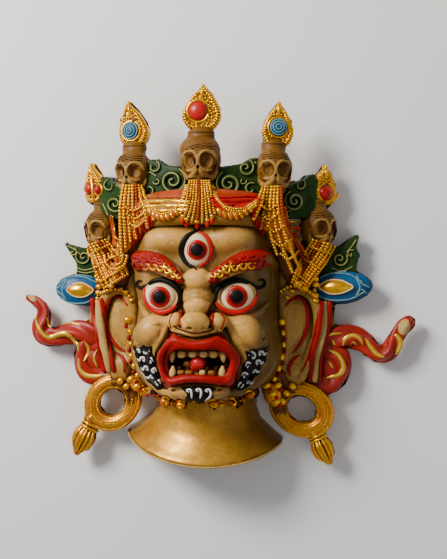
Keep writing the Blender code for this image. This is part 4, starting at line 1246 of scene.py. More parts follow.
def skulls():
    """Five skulls from one carving: ringed sockets, wavy brows, cheekbones and a ringed neck on top."""
    r = SKULL
    clay = Clay((-22, -31, -19), (22, 32, 22), 0.68)

    def on(x, y, lift=0.0):
        return np.array((x * r, y * r, (0.98 * math.sqrt(max(0.04, 1 - x * x - (y / 1.12) ** 2)) + lift) * r))

    clay.egg((0, 0, 0), (r, 1.12 * r, 0.98 * r), blend=2)
    clay.egg((0, -0.95 * r, 0.12 * r), (0.64 * r, 0.66 * r, 0.66 * r), blend=3)
    clay.egg((0, 1.2 * r, -0.1 * r), (0.68 * r, 0.5 * r, 0.53 * r), blend=4)
    ridge = Clay((-22, -31, -19), (22, 32, 22), 0.68)
    for shape in (clay, ridge):
        grown = 1.0 if shape is clay else 1.1
        for way in SIDES:
            bone = [
                on(way * x, y, 0.05) for x,
                y in ((0.04, -0.5), (0.14, -0.66), (0.36, -0.9), (0.6, -0.9), (0.8, -0.66), (0.86, -0.5))
            ]
            shape.rod(bone, np.array((0.8, 1.9, 2.6, 2.6, 1.8, 0.8)) * grown, blend=1.0)
            turn = np.linspace(0.2, 5.2, 13)
            ring = [on(way * (0.44 + 0.42 * math.cos(a)), -0.14 + 0.48 * math.sin(a), 0.02) for a in turn]
            shape.rod(ring, np.array([0.6] + [1.2] * 11 + [0.6]) * grown, blend=0.8)
    for way in SIDES:
        clay.egg(
            on(way * 0.44, -0.16, 0.1), (0.34 * r, 0.4 * r, 0.36 * r), (0, way * 20, 0), blend=0.8,
            remove=True
        )
        clay.egg(on(way * 0.44, -0.2, -0.32), (0.14 * r, 0.2 * r, 0.1 * r), (0, way * 20, 0), blend=1.2)
        clay.rod(
            [on(way * 0.93, -0.1), on(way * 0.97, 0.3), on(way * 0.8, 0.65)], 1.0, blend=1.2, remove=True
        )
    clay.egg(on(0, -0.42, 0.0), (0.07 * r, 0.13 * r, 0.1 * r), blend=0.6, remove=True)
    for k, y in enumerate((0.4, 0.53, 0.66, 0.79)):
        wave = [on(x, y + 0.05 * math.cos(x * 8) - 0.14 * x * x, 0.0) for x in np.linspace(-0.68, 0.68, 15)]
        clay.rod(wave, 0.9, blend=0.6)
        wave = [
            on(x, y + 0.065 + 0.05 * math.cos(x * 8) - 0.14 * x * x, 0.0)
            for x in np.linspace(-0.68, 0.68, 15)
        ]
        clay.rod(wave, 0.6, blend=0.4, remove=True)
    for k in range(7):
        x = (k - 3) * 0.16
        clay.egg(((x * r), -1.24 * r, (0.72 - 0.5 * x * x) * r), (1.25, 2.4, 1.3), blend=0.4)
    points, quads, cells = clay.skin()
    # Darker in the hollows: the wash, partly painted shade.
    wash_and_shade = np.clip(clay.hollows(cells, 1.8) * 1.6 - 0.14, 0, 0.9)
    pale = ridge.phi[tuple(np.clip(np.round(cells).astype(int), 0, ridge.size - 1).T)] < 0.3
    pale &= wash_and_shade < 0.45
    light = quads[pale[quads].sum(1) >= 3]
    used = np.unique(light)
    fresh = np.full(len(points), -1)
    fresh[used] = np.arange(len(used))
    normals = points / np.linalg.norm(points / (1, 1.2, 1), axis=1)[:, None]
    for number, (at, size, turn, kind) in enumerate(SKULLS):
        aim = turn + 10 if turn > 30 else turn
        Shape().add(
            turned(points * size, at, aim), quads, wash_and_shade
        ).piece("skull_" + str(number + 1), SKULL_PAINT)
        edge = turned((points + normals * 0.12) * size, at, aim)[used]
        put_in("skull_ridges", BONE).add(edge, fresh[light])
        if kind == 0:
            dome = turned(np.array((-0.06 * r, 0.5 * r, -0.05 * r)) * size, at, aim)
            lump(put_in("skull_dome", SKULL_PAINT), dome, (1.0 * r, 0.74 * r, 0.84 * r), form=ball(24, 40))
        ring = [
            (0.6 * r * math.cos(a), 1.34 * r, (-0.1 + 0.5 * math.sin(a)) * r)
            for a in np.linspace(-0.3, math.pi + 0.3, 15)
        ]
        put_in("skull_collars", SKULL_PAINT).add(*tube(turned(np.array(ring) * size, at, aim), 1.3, sides=12))


def jewel_outline(kind, turn):
    width, height, _ = JEWEL[kind]
    half = width / 2
    lean = -0.34 * half if turn < 0 else 0.08 * half
    right = [
        (lean, height), (lean + 0.16 * half, 0.9 * height), (0.62 * half + lean / 2, 0.7 * height),
        (half, 0.36 * height)
    ]
    right += [(0.86 * half, 0.14 * height), (0.5 * half, 0.02 * height)]
    left = [(-0.5 * half, 0.02 * height), (-0.86 * half, 0.14 * height), (-half, 0.36 * height)]
    left += [(-0.62 * half + lean / 2, 0.7 * height), (lean - 0.16 * half, 0.9 * height)]
    return right + left


def jewels():
    """Pointed gold leaves over each skull, ribbed round the edge and set with round stones in collars."""
    plates, grains = put_in("jewel_leaves", GOLD), put_in("jewel_grains", GOLD)
    stones, blues = put_in("red_stones", STONE_RED), put_in("blue_stones", BLUE)
    for at, _, turn, kind in SKULLS:
        width, height, foot = JEWEL[kind]
        step, rise = LEAF_STEP[turn]
        base = np.array(at) + (step, foot + rise, -1.7)
        outline = np.array(jewel_outline(kind, turn))
        smooth = smooth_path(outline, 96, closed=True)
        smooth[int(np.argmax(smooth[:, 1]))] = outline[0]
        middle = smooth.mean(0)
        points, faces = slab(middle + (smooth - middle) * 0.985, -4.1, 2.6, dome=1.0)
        plates.add(turned(points, base, turn), faces)
        spots = [(np.array((-2.6 if kind == 0 else 0.0, 0.41 * height)), 8.2 if kind == 0 else 7.6)]
        if kind == 1 and turn < 0:
            spots = [(np.array((-1.6, 0.34 * height)), 7.5)]
        if kind == 1 and turn > 0:
            spots = [(np.array((0.2, 0.42 * height)), 7.4)]
        if kind == 2 and turn < 0:
            spots = [(np.array((-4.4, 13.0)), 5.4), (np.array((7.6, 11.5)), 4.0)]
        if kind == 2 and turn > 0:
            spots = [(np.array((0.5, 11.5)), 6.6)]
        edge = smooth_path(np.vstack([smooth, smooth[:1]]), 44)
        for k, p in enumerate(edge):
            inward = middle - p
            inward = inward / max(1e-6, np.linalg.norm(inward))
            reach = 4.6 if k % 2 else 3.6
            line = [
                np.array((*(p + inward * 0.9), 2.6)), np.array((*(p + inward * (0.5 * reach + 0.6)), 3.7)),
                np.array((*(p + inward * (reach + 0.4)), 3.2))
            ]
            blocked = any(np.linalg.norm(line[2][:2] - s) < q + 0.4 for s, q in spots)
            if blocked:
                line[2] = line[1]
                line[1] = (line[0] + line[2]) / 2
            grains.add(*tube(turned(np.array(line), base, turn), (0.8, 1.2, 0.7), sides=7))
        for i in range(70):
            reach, angle = math.sqrt((i + 0.5) / 70) * 0.66, i * 2.39996
            spot = middle + np.array((math.cos(angle) * 0.5 * width, math.sin(angle) * 0.5 * height)) * reach
            inward = middle + (spot - middle) / 0.7
            if not inside(inward, smooth) or any(np.linalg.norm(spot - s) < q + 1.8 for s, q in spots):
                continue
            lump(grains, turned((*spot, 3.7), base, turn), (1.15, 1.15, 0.9), form=SMALL)
        for s, q in spots:
            jewel = stones if kind != 1 else blues
            made = ball(18, 32)
            jewel.add(turned(made[0] * (q, q, 4.6) + (*s, 3.4), base, turn), made[1])
            ring = [
                (s[0] + (q + 0.9) * math.cos(a), s[1] + (q + 0.9) * math.sin(a), 3.6)
                for a in np.linspace(0, 2 * math.pi, 33)[:-1]
            ]
            grains.add(*tube(turned(np.array(ring), base, turn), 1.3, closed=True))
            if kind == 1:
                for reach, up, thick in ((0.3, 4.4, 0.55), (0.6, 3.75, 0.6), (0.88, 2.4, 0.7)):
                    ring = [
                        (s[0] + q * reach * math.cos(a), s[1] + q * reach * math.sin(a), 3.5 + up)
                        for a in np.linspace(0, 2 * math.pi, 29)[:-1]
                    ]
                    put_in("stone_lines", PALE_BLUE if reach < 0.8 else BLUE).add(
                        *tube(turned(np.array(ring), base, turn), thick, closed=True, sides=8)
                    )
        tip = [
            (outline[0][0] * 0.9, height * 0.94, 2.4), (outline[0][0] * 0.7, height * 0.82, 4.0),
            (outline[0][0] * 0.3, height * 0.68, 4.0)
        ]
        grains.add(*tube(turned(np.array(tip), base, turn), (0.7, 1.7, 1.2), sides=9))
        if kind == 2 and turn > 0:
            spur = [(0.62 * width / 2, 6, 1), (width / 2 + 1.5, 9, 2), (width / 2 + 2.6, 13, 1)]
            plates.add(*tube(turned(np.array(spur, float), base, turn), (2.2, 1.6, 0.6)))
        if kind == 2 and turn < 0:
            ridge = [(2.2, 3, 4), (1.8, 12, 5.2), (-0.5, 21, 4.6), (-2.8, 28, 3.6)]
            grains.add(*tube(turned(np.array(ridge, float), base, turn), (1.5, 1.8, 1.4, 0.7)))


def inside(spot, outline):
    x, y = spot
    a, b = outline, np.roll(outline, -1, 0)
    crosses = (a[:, 1] > y) != (b[:, 1] > y)
    at = a[:, 0] + (y - a[:, 1]) / np.where(crosses, b[:, 1] - a[:, 1], 1) * (b[:, 0] - a[:, 0])
    return bool((crosses & (x < at)).sum() % 2)


def panels():
    """Dark green scroll leaves between the skulls, each with a raised coil and a line of pale gold."""
    green, line = put_in("scroll_panels", GREEN), put_in("scroll_lines", LEAF_GOLD)
    faces_of = Shape()
    for x, y, z, wide, high, turn in ((30, 81, 50, 46, 36, 14), (81, 69.5, 32, 30, 34, 36)):
        for side in SIDES:
            outline = [
                (-0.5, -0.5), (-0.1, -0.5), (0.3, -0.5), (0.5, -0.5), (0.52, -0.1), (0.52, 0.2), (0.5, 0.44)
            ]
            outline += [
                (0.4, 0.54), (0.28, 0.61), (0.16, 0.53), (0.04, 0.47), (-0.1, 0.44), (-0.24, 0.4),
                (-0.38, 0.34), (-0.52, 0.27), (-0.5, -0.2)
            ]
            shape = np.array([(side * px * wide, py * high) for px, py in outline])
            shape = shape if side > 0 else shape[::-1]
            points, faces = slab(smooth_path(shape, 64, True), -6, 5.6, dome=0.8, soft=2.2)
            points = turned(points, (side * x, y, z), side * turn)
            green.add(points, faces)
            faces_of.add(points, faces)
    carrier = both(Carrier(*faces_of.whole()))
    coils = (
        ((173, 181), 13.5, -1, 60, 1.9), ((149, 190), 8.0, 1, 120, 1.3), ((154, 167), 6.5, -1, 60, 1.1),
        ((163, 163), 4.5, 1, 90, 1.0), ((157, 181), 4.0, 1, 200, 1.0), ((229, 184), 13.0, 1, 120, 1.9),
        ((246, 168), 8.5, -1, 60, 1.4), ((251, 189), 6.5, 1, 60, 1.1), ((221, 166), 5.0, 1, 60, 1.0),
        ((243, 181), 4.0, -1, 10, 1.0), ((115, 204), 9.5, -1, 60, 1.7), ((110, 186), 6.5, 1, 100, 1.1),
        ((117, 183), 4.0, -1, 40, 1.0), ((295, 201), 10.5, 1, 120, 1.8), ((300, 185), 6.0, -1, 60, 1.1),
        ((289, 186), 4.0, 1, 60, 1.0), ((289, 215), 4.5, 1, 60, 0.9),
    )
    for (px, py), reach, way, start, turns in coils:
        winding = spiral(px, py, reach, turns, start, way, 44)
        stroke(green, carrier, winding, taper(40, 0.14 * reach + 0.7, 0.6), 0.6, flat=0.9, calm=1)
        stroke(
            line, carrier, winding if reach > 8 else winding[:30], 0.34 + 0.02 * reach, 1.5 + 0.09 * reach,
            flat=0.7, calm=1
        )
    for curve in (
        [(103, 204), (105.5, 209), (108, 215)], [(148, 162), (154, 159), (161, 162)],
        [(238, 161), (247, 158), (256, 163)], [(145, 176), (150, 172), (156, 176)],
        [(144, 195), (152, 198), (161, 197)], [(187, 168), (190, 176), (189, 186)],
        [(214, 170), (212, 178), (215, 190)]
    ):
        stroke(line, carrier, curve, 0.6, 0.7, flat=0.8, calm=1)


def leaves():
    """Ragged green leaves over the side buds, with a pale scroll."""
    green, line = put_in("side_leaves", GREEN), put_in("leaf_lines", LEAF_GOLD)
    left = [
        (16, -14), (5, -14), (-4.5, -13.5), (-5, -7), (-5.5, -2), (-10, 5), (-13, 10), (-16.2, 15.6),
        (-10, 13.5), (-3, 12.2), (5, 11), (13.5, 8), (16, -3)
    ]
    right = [
        (-14, -14), (0, -15), (12, -14), (14, -7), (14, -2), (17, 5), (13.5, 10), (16, 21), (10, 20.5),
        (4, 15), (-2, 12), (-16, 8), (-17, -3)
    ]
    for side, outline in ((-1, left[::-1]), (1, right)):
        points, faces = slab(smooth_path(np.array(outline, float), 64, True), -4.4, 4.0, dome=0.6, soft=1.6)
        points = points + (side * 114, 17, 13)
        green.add(points, faces)
        carrier = Carrier(points, [tuple(f) for group in faces for f in group])
        centre = (84, 257) if side < 0 else (340, 259)
        winding = spiral(*centre, 7.8, 1.5, 150 if side < 0 else 30, -side, 34)
        small = spiral(centre[0] + side * 11, centre[1] - 5, 4.5, 1.1, 60, side, 24)
        for coil, thick, up in ((winding, 1.5, 1.8), (small, 1.0, 1.3)):
            stroke(green, carrier, coil, taper(34, thick, 0.6), 0.3, calm=1)
            stroke(line, carrier, coil, 0.55, up, calm=1)
        for vein in (
            (
                [(68, 246), (74, 249), (80, 254)], [(74, 266), (84, 270), (94, 268)],
                [(76, 271), (86, 273), (95, 271)]
            )
            if side < 0 else ([(356, 240), (352, 246), (347, 252)], [(332, 268), (342, 271), (352, 267)])
        ):
            stroke(line, carrier, vein, 0.55, 0.5, calm=1)


def side_buds():
    """Blue lotus buds lying over the ears, with painted petals, a gold seed and a gold bead at the stem."""
    blue, line, gold, edge = put_in("side_buds", BLUE), put_in(
        "bud_lines", PALE_BLUE
    ), put_in("bud_seeds", GOLD), put_in("seed_edges", CREAM)
    for side in SIDES:
        reach, drop = (3, 0) if side > 0 else (0, 2.2)
        at = np.array((side * (114.3 + reach / 2), -7 + reach / 4 - drop, 17.0))
        form = ball(24, 40)
        points = (form[0] * (22.8 + reach, 14.0, 8.6)) @ rotation((0, 0, side * 4)).T + at
        swell = 1 + 0.03 * np.cos(np.arctan2(form[0][:, 1], form[0][:, 2]) * 6)[:, None]
        points = at + (points - at) * swell
        blue.add(points, form[1])
        carrier = both(Carrier(points, [tuple(f) for group in form[1] for f in group]))
        if side < 0:
            seed = [
                (67.5, 290), (71, 286), (76, 283.5), (83, 283), (89, 286), (93.5, 290), (89, 294.5),
                (83, 297), (76, 296.5), (71, 294)
            ]
            petals = (
                [(60, 284), (69, 277), (84, 277), (97, 283)],
                [(60, 297), (69, 302.5), (84, 303), (96, 298)], [(57, 288), (63, 284), (67, 277)],
                [(65, 302), (63, 296), (58, 291)]
            )
            petals += ([(74, 274), (84, 272), (93, 275)], [(66, 281), (62, 290), (66, 299)])
            stem = (99, 287)
        else:
            seed = [
                (319, 287), (324, 282.5), (331, 280), (341, 280.5), (348, 283.5), (353, 287), (347, 291),
                (339, 293.5), (330, 293.5), (324, 291)
            ]
            petals = (
                [(316, 280), (329, 274), (348, 274), (362, 282)],
                [(316, 295), (331, 300), (350, 299), (364, 292)], [(357, 276), (361, 283), (369, 287)],
                [(366, 293), (361, 289), (356, 297)]
            )
            petals += ([(322, 272.5), (334, 270), (346, 271)], [(356, 278), (360, 287), (356, 296)])
            stem = (314, 290)
        decal(gold, carrier, seed, 1.2, dome=2.0, rings=7)
        closed_line = smooth_path(np.array(seed, float), 40, True)
        edge.add(*tube(carrier.path(closed_line, 1.3), 0.8, closed=True, sides=6))
        for petal in petals:
            stroke(line, carrier, petal, 0.65, 0.3, flat=0.7, calm=1)
        for dy, size in ((0, 1.0), (-6, 0.9), (6, 0.9), (-11, 0.7), (11, 0.7)):
            lump(
                gold, both(cad_form).put(stem[0] + side * abs(dy) * 0.12, stem[1] + dy, 0.8),
                (3.6 * size, 3.0 * size, 2.8 * size)
            )


def headband():
    """The rolled edge of the headdress, a dark line under it and the wrapped cloth over it."""
    arc = (
        (-64, 22, 34), (-60, 40, 48), (-46, 49, 64), (-24, 52, 77), (0, 53, 81), (24, 52, 77), (46, 49, 64),
        (60, 40, 48), (64, 22, 34)
    )
    put_in("headband", TAN_CLOTH).add(*tube(arc, 7.4, sides=20, step=2))
    under = [
        (134, 231), (140, 228.5), (152, 227), (175, 226.5), (200, 226), (225, 226.5), (250, 227),
        (262, 229), (268, 233)
    ]
    stroke(put_in("band_shadow", SHADOW_LINE), both(cad_form), under, 0.75, 0.1, calm=2)
    upper = [(x, y + 14, z - 6) for x, y, z in arc[1:-1]]
    put_in("headcloth", ORANGE).add(*tube(upper, 8.8, sides=20, step=2))


def falls():
    """Bead strings from the skulls' jaws, swags, striped cloth and falls at the temples."""
    gold, red, ground, drops = put_in(
        "bead_strings", GOLD
    ), put_in("red_beads", ORANGE), put_in("fall_ground", GILT), put_in("drops", BRIGHT_RED)
    on_all = both(cad_form)
    stripes = (
        (
            ((144, 196.5), (160, 196), (175, 196), (190, 197.5)),
            ((147, 215), (160, 215), (175, 214), (186, 213)), TAN_CLOTH, "cloth_left"
        ),
        (
            ((210, 196.5), (228, 196), (243, 195), (262, 195.5)),
            ((216, 213), (228, 213), (243, 212), (258, 212)), BRIGHT_RED, "cloth_right"
        ),
    )
    for top, bottom, material, name in stripes:
        top, bottom = np.array(top, float), np.array(bottom, float)
        decal(put_in(name, material), on_all, np.vstack([top, bottom[::-1]]), 0.9, dome=0.6, rings=5)
        for k, share in enumerate((0.08, 0.3, 0.55, 0.8)):
            line = top * (1 - share) + bottom * share
            wide, lift = ((1.0, 1.8) if k == 0 else (1.9, 1.2))
            painted = (
                put_in("cloth_edges", ORANGE) if k == 0 else gold
            ) if name == "cloth_left" else put_in("cloth_folds", BRIGHT_RED if k < 2 else ORANGE)
            stroke(painted, on_all, line, wide, lift, calm=2)
    centre = []
    for k in range(9):
        s = k / 8.0
        low = (
            (181, 213), (183, 218), (186.5, 221), (191.5, 222), (197, 222.5), (202.5, 222), (207.5, 221),
            (212, 218), (215, 213)
        )[k]
        centre.append(
            (
                (190 + 19 * s, 181), (188.5 + 22 * s, 190), (187 + 25 * s, 199),
                (0.5 * (187 + 25 * s) + 0.5 * low[0], 0.38 * 199 + 0.62 * low[1]), low
            )
        )
    fan(gold, red, ground, centre, 1.3, 1.2)
    for k in (1, 2, 4, 6, 7):
        x, y = centre[k][-1]
        lump(drops, on_all.put(x, y + 1.4, 0.9), (2.0, 3.4, 2.1))
        lump(gold, on_all.put(x, y - 2.0, 1.1), (2.1, 1.6, 2.1))
    for k in range(3):
        left = (
            (188 - k, 186), (184.5 - 1.5 * k, 198 + 1.5 * k), (175 - k, 208 + 2.2 * k),
            (161, 211.5 + 2.4 * k), (149, 205 + 2.4 * k)
        )
        right = (
            (211 + k, 186), (215.5 + 1.5 * k, 197 + 1.5 * k), (227 + k, 207 + 2.2 * k),
            (243, 208.5 + 2.4 * k), (256, 201 + 2.4 * k)
        )
        for line in (left, right):
            path = smooth_path(on_all.path(smooth_path(np.array(line, float), 18), 1.9, calm=4), 40)
            beads(gold, path, 1.35, gap=1.5)
            gold.add(*tube(path - (0, 0, 0.4), 1.1, sides=8))
    for ends in (
        ((150, 211), (158, 216.5), (168, 217), (178, 212)),
        ((218, 211), (228, 215.5), (240, 215.5), (251, 209))
    ):
        line = smooth_path(np.array(ends, float), 18)
        path = smooth_path(on_all.path(line, 0.9, calm=4), 60)
        for shape, phase in ((gold, 0), (put_in("swag_orange", ORANGE), math.pi)):
            turn = np.linspace(0, 13 * math.pi, 60) + phase
            shape.add(
                *tube(
                    path + np.column_stack([0 * turn, np.cos(turn) * 1.5, np.sin(turn) * 1.3]), 1.8,
                    sides=10, step=0.9
                )
            )
    temple = (
        ((124, 186), (121.5, 200), (120.5, 216), (121, 236), (122, 256)),
        ((127, 186), (125, 200), (124.3, 214), (125, 230), (126, 247)),
        ((130, 186), (129, 200), (128.6, 212), (129.5, 226), (131, 241)),
        ((133, 186), (133, 199), (133.5, 211), (135, 224), (136.5, 238)),
        ((136, 186), (137, 198), (138.6, 209), (140.5, 220), (142, 233)),
        ((139, 186), (141, 197), (144, 207), (146.5, 216), (148, 227)),
        ((142, 186), (145, 196), (149, 204), (152, 211), (154, 219)),
    )
    fan(gold, red, ground, temple, 1.75, 1.3)
    for k, (x, y) in enumerate(
        ((131, 240), (134, 239), (137, 236), (140, 234), (143, 231), (146, 228), (149, 225), (152, 221))
    ):
        line = ((x, y - 7), (x + 0.8, y - 1), (x + 0.2, y + 6))
        stroke(put_in("tassels", ORANGE if k % 2 else RED), on_all, line, (1.9, 1.7, 0.5), 1.1, calm=1)
        if k % 2:
            stroke(gold, on_all, line[:2], 0.6, 2.6, calm=1)
    for curve in (
        ((127, 207), (134, 211), (142, 207)), ((128, 214), (136, 219), (145, 213)),
        ((129, 222), (137, 227), (145, 221))
    ):
        beads(gold, on_all.path(smooth_path(np.array(curve, float), 10), 2.9, calm=2), 1.3, gap=1.6)
    right = (
        ((263, 187), (259, 198), (253, 206), (247, 212)),
        ((266, 187), (262.5, 200), (258, 210), (254, 219)),
        ((269, 187), (266, 202), (263, 215), (261, 228)),
        ((272, 187), (270, 204), (269, 220), (271.5, 237), (277, 254)),
        ((275, 187), (274, 204), (275, 221), (279.5, 239), (286, 257), (292, 272)),
        ((278, 187), (278, 204), (280, 220), (286, 238), (293, 255), (300, 270)),
        ((281, 187), (281.5, 203), (283.5, 217), (291, 234), (299, 250), (306, 265)),
    )
    fan(gold, red, None, right[:3], 1.75, 1.4)
    fan(gold, red, ground, right[2:], 1.75, 1.4)
    for curve in (
        ((262, 206), (269, 210), (276, 206)), ((263, 215), (270, 220), (278, 214)),
        ((268, 226), (275, 232), (284, 226)), ((273, 240), (281, 246), (291, 239)),
        ((281, 254), (289, 259), (299, 251))
    ):
        beads(gold, on_all.path(smooth_path(np.array(curve, float), 10), 2.9, calm=2), 1.3, gap=1.6)
    for k, (x, y) in enumerate(((254, 222), (257, 225), (260, 230), (263, 232))):
        stroke(
            put_in("tassels_right", ORANGE if k % 2 else RED), on_all,
            ((x, y - 8), (x - 0.5, y - 2), (x, y + 4)), (1.8, 1.6, 0.5), 1.1, calm=1
        )
    for low, high in (
        (((87, 246), (93, 261), (98, 275), (105, 288)), ((106, 240), (115, 249), (122, 260), (128, 274))),
        (((335, 246), (326, 262), (315, 276), (304, 291)), ((313, 240), (306, 252), (299, 264), (292, 282)))
    ):
        strings = [
            [tuple(np.array(a) * (1 - s) + np.array(b) * s) for a, b in zip(low, high)]
            for s in np.linspace(0, 1, 7)
        ]
        fan(gold, red, ground, strings, 1.65, 1.2)
        for j in range(1, 8, 2):
            ring = [
                tuple(
                    np.array(strings[k][min(3, j // 2)]) * 0.5
                    + np.array(strings[k][min(3, j // 2 + 1)]) * 0.5
                )
                for k in (0, 3, 6)
            ]
            beads(gold, on_all.path(smooth_path(np.array(ring, float), 9), 2.6, calm=2), 1.3, gap=1.6)
    for loop, size in (
        ([(105, 255), (107, 264), (115.5, 269), (124.5, 265), (127.5, 256)], 1.6),
        ([(109, 254), (111, 262), (116, 265), (122, 262), (124, 255)], 1.4)
    ):
        path = on_all.path(smooth_path(np.array(loop, float), 20), 2.4, calm=2)
        beads(gold, path, size, gap=1.5)
        gold.add(*tube(path, size * 0.85, sides=8))
    for line, wide in (
        (((112, 217), (114, 232), (117, 246), (119, 262)), 3.6),
        (((284.5, 208), (286, 219), (294, 235), (302, 249), (309, 263)), 3.2)
    ):
        stroke(put_in("temple_cloth", SWAG), on_all, line, wide * 0.6, 0.9, flat=0.5, calm=3)
        stroke(gold, on_all, [(x + 1.6, y) for x, y in line], 0.8, 2.4, calm=3)
    for line in (
        ((100, 294), (112, 289), (122, 290), (130, 296)), ((281, 291), (290, 286), (301, 287), (312, 294))
    ):
        beads(gold, on_all.path(smooth_path(np.array(line, float), 10), 1.4, calm=2), 2.0, gap=1.6)
    for px, py, r in (
        (120, 288, 3.0), (127, 292, 2.6), (112, 286, 2.6), (298, 283, 3.2), (291, 290, 2.8),
        (304, 288, 2.8), (287, 297, 2.4), (132, 300, 2.4)
    ):
        lump(gold, on_all.put(px, py, 1.0), (r * 1.2, r * 0.8, 2.4), (0, 0, 30 if px < 200 else -30))


def ribbons():
    """Three-coloured ribbon edges behind the ears."""
    red, gold = put_in("ribbon_red", RED), put_in("ribbon_gold", RIM_TAN)
    left = ((97, 300), (100, 322), (104, 345), (109, 370))
    right = ((325, 303), (323, 330), (316, 358), (315, 380))
    for line in (left, right):
        for k, wide in ((-1, 2.6), (1, 2.2)):
            stroke(red, both(cad_form), [(x + k * 4.6, y) for x, y in line], wide, 0.5, flat=0.7, calm=8)
        stroke(gold, both(cad_form), line, taper(14, 3.4, 0.7), 0.8, flat=0.6, calm=8)


def scarves():
    """Red scarves that blow outwards in twisted folds, with gold stripes, and a scrolled lobe below."""
    red, gold = put_in("scarves", SCARF_RED), put_in("scarf_gold", GOLD)
    left = (
        (-94, -50), (-106, -48), (-117, -46.5), (-128, -48), (-140, -51), (-149.5, -49), (-152.3, -41),
        (-150, -33), (-151, -25.5), (-157.3, -19), (-164.3, -15.6)
    )
    right = (
        (100, -52), (113, -49), (125, -49.5), (135, -54), (146, -63.3), (155.3, -61.3), (161.5, -50.5),
        (167, -41.5), (172.3, -36.6)
    )
    sizes = {
        -1: (10, 11, 10.4, 9.2, 8.6, 8.8, 7.8, 6.6, 5.8, 4.4, 2.6),
        1: (10, 10.5, 9.8, 8.4, 7.8, 7.6, 7, 6.8, 6)
    }
    lobes = {
        -1: ((-95, -56), (-110.5, -58), (-113.8, -72), (-107, -84), (-89, -84)),
        1: ((99, -60), (112, -64), (115, -78), (106, -90), (93, -88))
    }
    for side, path in ((-1, left), (1, right)):
        slim = np.array(sizes[side]) * 0.95
        red.add(
            *tube(
                [(x, y, 13.2) for x, y in path], slim, sides=44, flat=0.8, lobes=4, twist=0.07 * side,
                step=1.4
            )
        )
        red.add(
            *tube(
                [(x, y, 14) for x, y in lobes[side]], 7.6, sides=32, flat=0.8, lobes=3, twist=0.08, step=1.5
            )
        )
        lump(red, np.array([(x, y, 13) for x, y in lobes[side]]).mean(0), (13.6, 14.6, 6.2))
    carrier = both(Carrier(*red.whole()))
    stripes = (
        (
            [
                (36, 318), (38, 326), (43, 334), (50, 337.5), (57, 335), (65, 333.5), (72, 337), (77, 344),
                (79, 351)
            ],
            2.6
        ),
        ([(47, 318), (48, 324), (52, 329)], 1.2), ([(84, 341), (88, 347), (88, 354), (84, 361)], 1.9),
        ([(79, 359), (80, 368), (86, 375), (96, 376.5), (103, 375)], 2.6),
        ([(97, 350), (94, 358), (97, 367)], 1.5), ([(62, 325), (70, 323), (80, 325)], 1.3),
        ([(343, 345), (345, 339), (352, 335.5), (359, 338), (363, 345)], 2.3),
        ([(350, 345), (353, 341.5), (357, 345)], 1.2),
        ([(366, 339), (370, 346), (377, 354), (384, 357)], 2.5),
        ([(391, 334), (398, 337), (400, 345), (396, 354)], 2.7),
        ([(329, 350), (338, 355), (343, 365), (340, 374), (327, 378)], 2.4),
        ([(332, 340), (335, 345)], 1.4), ([(329, 362), (333, 368)], 1.4),
        ([(322, 338), (332, 334), (342, 333)], 1.3),
    )
    for line, wide in stripes:
        stroke(gold, carrier, line, taper(14, wide, 0.3), 0.05, flat=0.5, calm=1)
        # Painted highlight: a thin pale line along the crest of each gold stripe.
        stroke(
            put_in("scarf_painted_highlight", PALE_GOLD), carrier, line, taper(14, 0.34 * wide, 0.3), 0.05 + 0.42 * wide,
            flat=0.5, calm=1
        )
    decal(
        put_in("scarf_tip", RIM_TAN), carrier,
        [(401, 321), (407, 319), (410, 325), (407, 334), (400, 334), (398, 327)], 0.5, dome=0.5, rings=4
    )
    decal(
        put_in("scarf_tip", RIM_TAN), carrier, [(28, 296), (32, 294.8), (36, 298), (36, 302), (31, 300.5)],
        0.4, dome=0.3, rings=4
    )


